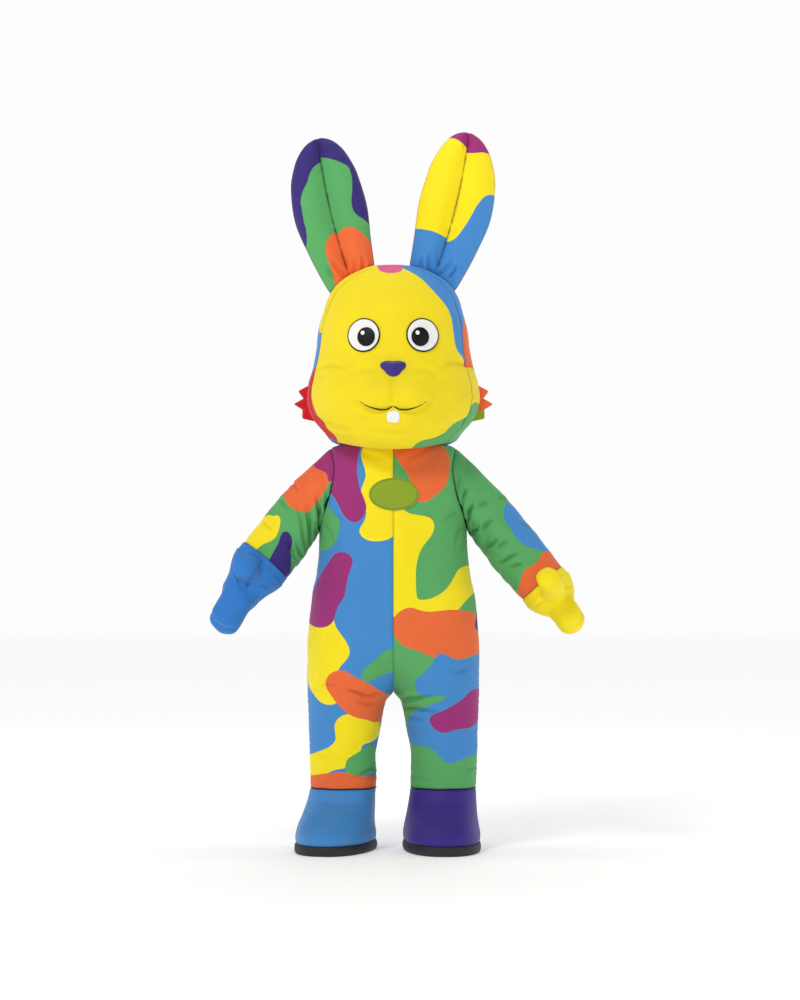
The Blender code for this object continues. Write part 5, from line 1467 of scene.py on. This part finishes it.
EAR_PRINTS = {
    "ear_left_inner": ("yellow", (
        ("blue", (-120, 20, 125,  -20, 0, 130)),
        ("magenta", (-60, 500, 62,  30, 520, 85)),
    )),
    "ear_left_outer": ("yellow", (
        ("blue", (0, 0, 120,  80, 20, 120,  105, 150, 66,  118, 260, 38)),
        ("magenta", (0, 500, 70,  110, 480, 75)),
    )),
    "ear_left_back": ("orange", (
        ("blue", (-60, 60, 70,  20, 100, 60,  70, 180, 45)),
        ("green", (70, 330, 50,  0, 360, 60,  -50, 300, 40)),
        ("magenta", (-80, 470, 60,  40, 500, 60)),
    )),
    "ear_right_outer": ("purple", (
        ("green", (-10, -20, 90,  -18, 120, 82,  0, 260, 75,  0, 320, 58)),
        ("orange", (10, -20, 62,  12, 90, 60)),
    )),
    "ear_right_inner": ("purple", (
        ("green", (10, -20, 90,  5, 140, 88,  0, 280, 82,  6, 330, 60)),
        ("orange", (30, -40, 85,  30, 50, 78,  28, 90, 70)),
    )),
    "ear_right_back": ("green", (
        ("yellow", (60, 100, 55,  -10, 130, 60,  -70, 90, 45)),
        ("blue", (-60, 280, 50,  10, 310, 45)),
        ("purple", (-100, 440, 60,  0, 490, 75,  100, 430, 60)),
    )),
}
# Creases of an ear: depth and width, then places along it and across it, in thousandths of its size.
EAR_CREASES = (
    (6, 8,  10, 60,  60, 220,  120, 320,  170, 360), (6, 8,  10, -60,  60, -240,  110, -360,  150, -420),
    (4.5, 7,  20, 550,  80, 600,  130, 620), (4.5, 7,  20, -550,  75, -620,  120, -640),
    (2, 7,  860, 180,  885, 400,  890, 580), (2, 7,  850, -200,  880, -420,  885, -600),
    (1.8, 7,  640, 660,  655, 780,  665, 880), (1.8, 7,  540, -660,  560, -780,  575, -880),
    (1.8, 7,  400, 700,  415, 800,  420, 900),
)
EAR_SEEDS = {"inner": 111, "outer": 117, "back": 123}


def outside_head(points):
    """Above zero outside the upper head, below zero inside it."""
    heights = [row[1] for row in HEAD_SECTIONS[7:]]
    ring = np.interp(points[..., 2], heights, np.arange(8, 17))
    half = np.maximum(HEAD["half_width"](ring), 1e-4)
    depth = np.maximum(np.where(points[..., 1] < 0, HEAD["front"](ring), HEAD["back"](ring)), 1e-4)
    across, forward = np.abs(points[..., 0]) / half, np.abs(points[..., 1]) / depth
    value = (across ** HEAD_ROUNDNESS + forward ** HEAD_ROUNDNESS) ** (1 / HEAD_ROUNDNESS) - 1
    return np.where(points[..., 2] > HEAD_SECTIONS[-1][1], 1.0, value)


def ear_ring(kind, sign):
    """Shares across an ear piece round its ring: its curved outside, then its flat side."""
    columns = 64 if kind == "back" else 44
    around = np.cos(np.linspace(0, math.pi, columns))
    if kind == "back":
        return -around, np.linspace(1, -1, columns // 3 + 2)[1:-1]
    return sign * (1 - around) / 2, sign * np.linspace(1, 0, columns // 3 + 2)[1:-1]


def ear_piece(side_name, kind):
    name = f"ear_{side_name}_{kind}"
    side = SIDES[side_name]
    sign = side if kind == "outer" else -side
    curve, flat = ear_ring(kind, sign)
    all_shares = np.concatenate([curve, flat])
    curved = np.arange(len(all_shares)) < len(curve)

    def at(along, share, is_curved):
        half = EAR["half_width"](along)
        if kind == "back":
            depth = np.where(is_curved, -ear_back_depth(along, share), -GAP / 2)
            across = share * half
        else:
            depth = np.where(is_curved, ear_front_depth(along, share), GAP / 2)
            across = sign * np.maximum(GAP / 2, np.abs(share) * half)
        return ear_points(side_name, along, across, depth)

    # each line up the ear starts where it comes out of the head
    tries = np.linspace(-0.15, 0.30, 721)
    starts = []
    for share, is_curved in zip(all_shares, curved):
        line = at(tries, np.full(len(tries), share), np.full(len(tries), is_curved))
        inside = outside_head(line) < 0.004
        starts.append(tries[np.max(np.nonzero(inside)[0])] if inside.any() else tries[0])
    starts = np.array(starts)[None, :]
    rows = np.concatenate([[0.0, 0.008, 0.018, 0.032], np.linspace(0.05, 0.86, 56),
                           0.86 + 0.14 * np.sin(math.pi / 2 * np.arange(1, 21) / 20)])[:, None]
    along = starts + (1 - starts) * rows
    share = np.broadcast_to(all_shares[None, :], along.shape)
    is_curved = np.broadcast_to(curved[None, :], along.shape)
    plain = at(along, share, is_curved)
    length = float(np.linalg.norm(ear_frame(side_name)[1]))
    half = EAR["half_width"](along)
    base_gap = (along - starts) * length
    edge_gap = (1 - np.abs(share)) * half
    edge_gap = edge_gap + 0.35 * np.maximum(0, ear_front_depth(along, share) - 0.02) * (np.abs(share) < 0.9)
    centre_gap = np.abs(share) * half
    lines = crease_lines(EAR_CREASES, MILLI, lambda place, across: at(
        place, -0.8 * across if kind == "back" else across, np.ones(len(place), bool)))
    normals = grid_normals(plain)
    if np.median(np.sum(normals * (plain - plain.mean(axis=1, keepdims=True)), axis=-1)) < 0:
        normals = -normals
    relief = 0.0012 * waves(plain, 0.09, 101) + 0.0005 * waves(plain, 0.035, 102)
    relief *= smooth_step(edge_gap / 0.03) * smooth_step(base_gap / 0.02)
    relief += crease_depth(plain, lines)
    gathers = puckers(edge_gap, along * length, 0.032, 103 + side, 0.0010, 0.022)
    relief += gathers * smooth_step(edge_gap / 0.008)
    relief += seam_dip(edge_gap, 0.0016, 0.004) * 0.6
    if kind != "back":
        relief += seam_dip(centre_gap, 0.0026, 0.0065)
        relief += puckers(centre_gap, along * length, 0.028, 105, 0.0009, 0.014)
    relief += seam_dip(base_gap, 0.0035, 0.006)
    relief = np.where(is_curved, relief * smooth_step((1 - along) / 0.06), 0.0)
    # painted shade: darker along the ear's base, its edges and, on the front pieces, its centre seam
    seam = np.maximum(seam_shade(base_gap), 0.8 * seam_shade(edge_gap))
    if kind != "back":
        seam = np.maximum(seam, (0.25 if side > 0 else 0.5) * seam_shade(centre_gap))
    base, layers = EAR_PRINTS[name]
    places = np.stack([share * half, along * length], axis=-1)
    fields = {**print_fields(places, layers, EAR_SEEDS[kind] + side), "seam": seam}
    piece = add_piece(f"{name}_cloth", plain + relief[..., None] * normals, tube_faces(*along.shape),
                      cloth_material(f"{name}_print", base, layers), fields, weld=True)
    stand_for(name)


def reach_in(outline, centre, angle):
    """How far a closed outline lies from a centre inside it, in one direction."""
    ray = np.array((math.cos(angle), math.sin(angle)))
    best = 0.01
    for a, b in zip(outline, np.roll(outline, -1, axis=0)):
        edge = b - a
        cross = ray[0] * edge[1] - ray[1] * edge[0]
        if abs(cross) < 1e-12:
            continue
        offset = a - centre
        reach = (offset[0] * edge[1] - offset[1] * edge[0]) / cross
        part = (offset[0] * ray[1] - offset[1] * ray[0]) / cross
        if reach > 0 and -1e-9 <= part <= 1 + 1e-9:
            best = max(best, reach)
    return best


def tuft_piece(side_name, material):
    """A flat stuffed tuft with three soft points."""
    side = SIDES[side_name]
    name = f"cheek_tuft_{side_name}"
    centre = TUFT_CENTRE
    turns = full_turn(160)
    ring = np.array([reach_in(np.array(TUFT_OUTLINE), centre, turn) for turn in turns])
    for _ in range(3):
        ring = (np.roll(ring, 1) + 2 * ring + np.roll(ring, -1)) / 4
    front = np.sin(np.linspace(0.04, math.pi / 2, 16))
    shares = np.concatenate([front, front[::-1][1:]])[:, None]
    sign = np.where(np.arange(len(shares)) < len(front), 1, -1)[:, None]
    x = centre[0] + np.cos(turns) * ring * shares
    height = centre[1] + np.sin(turns) * ring * shares
    swell = TUFT_HALF_THICKNESS * (1 - shares ** 2.6) ** 0.6
    valley = 0.0022 * np.cos(3 * (turns - 0.3)) * shares * (1 - shares)
    grid = np.stack([side * x, TUFT_DEPTH - sign * (swell + valley), height], axis=-1)
    # painted shade: darker round the tuft's rim, where its two halves meet
    fields = {"seam": 0.7 * np.exp(-((1 - shares) / 0.03) ** 2) + 0 * x,
              "print_0": 1.363 - height + 0.25 * (x - 0.28)}      # a darker lower edge, on the left only
    piece = add_piece(f"{name}_cloth", grid, tube_faces(len(grid), len(turns)), material, fields, weld=True)
    stand_for(name)


def placket_piece(material):
    """The plain strip over the centre-back closing, with its edges turned down."""
    heights = np.linspace(PLACKET_BOTTOM + 0.043, PLACKET_TOP - 0.006, 90)[:, None]
    across = np.concatenate([[-1, -0.97, -0.92], np.linspace(-0.85, 0.85, 15), [0.92, 0.97, 1]])[None, :]
    height, share = np.broadcast_arrays(heights, across)
    x = share * PLACKET_HALF_WIDTH

    def back(x, height):
        return surface_of_suit(x, height, back=True)

    point = back(x, height)
    normal = surface_normals(back, x, height)
    normal *= np.sign(normal[..., 1:2])
    end_gap = np.minimum(height - heights.min(), heights.max() - height)
    gap = np.minimum((1 - np.abs(share)) * PLACKET_HALF_WIDTH, end_gap)
    top = 2 * GAP + 0.0006 + 0.0022 * (1 - np.exp(-(gap / 0.0022) ** 1.3))
    top = top - 0.0005 * np.exp(-((gap - STITCH_INSET) / 0.0011) ** 2)
    # painted shade: darker at the strip's edges; also darker along the stitch line
    seam = np.maximum(seam_shade(gap + 0.001), 0.5 * np.exp(-((gap - STITCH_INSET) / 0.0008) ** 2))
    piece = shell("back_placket_cloth", point + top[..., None] * normal, point + 2 * GAP * normal, material,
                  {"seam": seam})
    stand_for("back_placket")


# Face, badge and bands

MOUTH_LINE = (              # across and in height: from under the muzzle's seam out to the cheek
    (0.002, 1.352), (0.020, 1.343), (0.045, 1.343), (0.075, 1.353), (0.098, 1.368),
)
RIM_SHARE = 0.992           # the line round an eye lies just inside its edge
GLINT_SHIFT = (-0.009, 0.011)
GLINT_SIZE = (0.0058, 0.0066)


def on_side(spec, side):
    return {"at": (side * spec["at"][0], spec["at"][1]), "size": spec["size"]}


def face_pieces():
    head_piece(False, cloth_material("face_cloth", *FACE_PRINT))
    head_piece(True, cloth_material("head_print", *HEAD_PRINT))
    white = cloth_material("eye_felt", "white", roughness=0.55, sheen=0.12, pile=0.2, mottle=0.02)
    black = smooth_material("pupil_vinyl", "black", roughness=0.48)
    feed(black.node_tree, black.node_tree.nodes["Principled BSDF"], Specular_IOR_Level=0.2)
    dark = cloth_material("thread_black", "black", roughness=0.75, pile=0.3)
    nose_cloth = cloth_material("nose_cloth", "indigo", roughness=0.55, sheen=0.35, pile=0.35)
    for side_name, side in SIDES.items():
        eye, pupil = on_side(EYE, side), on_side(PUPIL, side)
        piece = face_pad(f"eye_{side_name}_felt", eye, oval, GAP, EYE_THICKNESS - GAP, 0.0004, white)
        stand_for(f"eye_{side_name}")
        turns = full_turn(120)
        x = eye["at"][0] + eye["size"][0] * RIM_SHARE * np.cos(turns)
        height = eye["at"][1] + eye["size"][1] * RIM_SHARE * np.sin(turns)
        line = lifted(surface_of_face, x, height, 0.0024)
        tube_along(f"eye_rim_{side_name}", line, 0.0026, dark, closed=True)
        lift = EYE_THICKNESS + 2 * GAP + 0.0005
        piece = face_pad(f"pupil_{side_name}_vinyl", pupil, oval, lift, THIN_PAD, 0.002, black)
        stand_for(f"pupil_{side_name}")
        glint = {"at": (pupil["at"][0] + GLINT_SHIFT[0], pupil["at"][1] + GLINT_SHIFT[1]), "size": GLINT_SIZE}
        lift = EYE_THICKNESS + THIN_PAD + 0.0034
        piece = face_pad(f"glint_{side_name}", glint, oval, lift, 0.0007, 0.0002, white, rings=4, steps=28,
                         edge=0.0004)
    nose = face_pad("nose_pad", NOSE, soft_triangle, GAP, NOSE_THICKNESS, 0.0115, nose_cloth, rings=16,
                    edge=0.003)
    stand_for("nose")
    teeth = face_pad("teeth_felt", TEETH, soft_square, GAP, EYE_THICKNESS - GAP, 0.0014, white)
    stand_for("teeth")
    for side_name, side in SIDES.items():
        line = line_on(surface_of_face, [(side * a, b) for a, b in MOUTH_LINE], 0.0006)
        ease = np.sin(math.pi * np.linspace(0.06, 0.94, len(line))) ** 0.5
        tube_along(f"mouth_line_{side_name}", line, 0.0021 * (0.55 + 0.45 * ease), dark)


def badge():
    felt = cloth_material("badge_felt", "olive", roughness=0.65, sheen=0.2, pile=0.3, mottle=0.04)
    thread = cloth_material("badge_thread", "olive_dark", roughness=0.7, pile=0.3)
    piece = face_pad("chest_badge_felt", BADGE, oval, 2 * GAP, THIN_PAD, 0.001, felt, rings=14, steps=96,
                     surface=surface_of_suit, edge=0.0008)
    stand_for("chest_badge")
    half_width, half_height = BADGE["size"]
    turns = full_turn(160)
    x = BADGE["at"][0] + (half_width - BADGE_STITCH_INSET) * np.cos(turns)
    height = BADGE["at"][1] + (half_height - BADGE_STITCH_INSET) * np.sin(turns)
    line = lifted(surface_of_suit, x, height, 0.0027)
    tube_along("badge_stitch", line, 0.0007, thread, closed=True, sides=6)


def hem_bands():
    """A dark band round each trouser hem, where the boot starts."""
    dark = cloth_material("hem_band", "black", roughness=0.7, pile=0.4)
    share = np.arange(BAND_COLUMNS) / BAND_COLUMNS
    heights = np.full(BAND_COLUMNS, HEM)
    for side_name, side in SIDES.items():
        line = (suit_points(heights, share) - 0.0012 * suit_normals(heights, share)) * (side, 1, 1)
        line[:, 2] = HEM - 0.0012 + 0.0006 * np.sin(share * 2 * math.pi * 7 + side)
        tube_along(f"hem_band_{side_name}", line, 0.0021, dark, closed=True)


# Studio

LAMPS = (                   # name, place, aim, size, power in watts and tint
    ("key", (-1.8, -3.4, 3.8), (0.0, 0.0, -0.1), 1.5, 108.0, (1.0, 0.985, 0.96)),
    ("fill", (3.4, -3.4, 1.2), (0.0, 0.0, -0.2), 2.4, 14.0, (0.96, 0.98, 1.0)),
    ("top", (0.2, 0.4, 3.4), (0.0, 0.0, 0.2), 2.2, 34.0, (1.0, 1.0, 1.0)),
    ("left", (-3.6, 0.6, 1.0), (0.0, 0.0, -0.2), 1.8, 14.0, (1.0, 1.0, 1.0)),
    ("right", (3.6, 0.9, 0.8), (0.0, 0.0, -0.2), 1.8, 12.0, (1.0, 1.0, 1.0)),
    ("back", (0.4, 3.0, 2.6), (0.0, 0.0, 0.0), 2.0, 34.0, (1.0, 1.0, 1.0)),
)
CAMERA_PLACE = (0.0205, -7.0, -0.520)
CAMERA_LENS = 80.9
CAMERA_SHIFT = 0.108
WHITE = (1.0, 1.0, 1.0)
FLOOR_RINGS = (3.0, 12.0, 60.0)


def lights_and_camera():
    scene = bpy.context.scene
    scene.view_settings.view_transform = "Standard"
    world = bpy.data.worlds.new("soft_studio")
    scene.world = world
    world.use_nodes = True
    sky = world.node_tree
    # white at and below the horizon, dim overhead, so that the lamps do the shading
    height = sky.nodes.new("ShaderNodeSeparateXYZ")
    put(sky, sky.nodes.new("ShaderNodeTexCoord").outputs["Generated"], height.inputs[0])
    feed(sky, sky.nodes["Background"], Color=WHITE,
         Strength=soft_ramp(sky, height.outputs["Z"], 0.27, 0.50, 0.98, 0.06))
    for name, at, aim, size, power, tint in LAMPS:
        lamp = bpy.data.lights.new(name, "AREA")
        lamp.shape = "DISK"
        lamp.size = size
        lamp.energy = power
        lamp.color = tint
        holder = bpy.data.objects.new(name, lamp)
        holder.location = at
        holder.rotation_euler = (Vector(aim) - Vector(at)).to_track_quat("-Z", "Y").to_euler()
        scene.collection.objects.link(holder)
    camera = bpy.data.cameras.new("camera")
    camera.sensor_fit = "VERTICAL"
    camera.sensor_height = 36.0
    camera.lens = CAMERA_LENS
    camera.shift_y = CAMERA_SHIFT
    holder = bpy.data.objects.new("camera", camera)
    holder.location = CAMERA_PLACE
    holder.rotation_euler = (math.pi / 2, 0.0, 0.0)
    scene.collection.objects.link(holder)
    scene.camera = holder


def floor():
    """A wide pale floor that glows, weakly near the piece and more far from it: painted light, like a lit
    studio.
    """
    material, tree, shader, places = new_material("pale_glowing_floor")
    far = tree.nodes.new("ShaderNodeVectorMath")
    far.operation = "LENGTH"
    put(tree, places, far.inputs[0])
    # painted light: the floor's emission rises from near the piece to far from it
    feed(tree, shader, Base_Color=grey(tree, spread(tree, noise(tree, places, 3.0, 2.0), 0.93, 0.95)),
         Roughness=0.9, Emission_Color=WHITE,
         Emission_Strength=soft_ramp(tree, far.outputs["Value"], 0.6, 5.5, 0.28, 0.74))
    steps = 64
    turns = full_turn(steps)
    points = [(0.0, 0.0, -SHOULDER_HEIGHT)]
    faces = []
    for ring, radius in enumerate(FLOOR_RINGS):
        points += [(radius * math.cos(t), radius * math.sin(t), -SHOULDER_HEIGHT) for t in turns]
        for step in range(steps):
            here, after = 1 + steps * ring + step, 1 + steps * ring + (step + 1) % steps
            faces.append((0, here, after) if ring == 0 else (here - steps, here, after, after - steps))
    mesh = bpy.data.meshes.new("floor")
    mesh.from_pydata(points, [], faces)
    mesh.materials.append(material)
    item = bpy.data.objects.new("floor", mesh)
    bpy.context.scene.collection.objects.link(item)


for side_name in SIDES:
    for back in (False, True):
        suit_piece(side_name, back)
    sleeve_piece(side_name)
glove_piece("left", cloth_material("glove_yellow", "yellow"))
glove_piece("right", cloth_material("glove_blue", "glove_blue"))
boot_piece("left", cloth_material("boot_purple", "boot_purple", roughness=0.58, sheen=0.15, pile=0.3))
boot_piece("right", cloth_material("boot_blue", "blue", roughness=0.58, sheen=0.15, pile=0.3))
rubber = smooth_material("sole_rubber", "sole_black", roughness=0.62)
for side_name in SIDES:
    sole_piece(side_name, rubber)
    for kind in ("inner", "outer", "back"):
        ear_piece(side_name, kind)
face_pieces()
tuft_piece("left", cloth_material("tuft_orange", "orange", (("olive",),)))
tuft_piece("right", cloth_material("tuft_red", "red"))
placket_piece(cloth_material("placket_blue", "blue"))
badge()
hem_bands()
floor()
lights_and_camera()
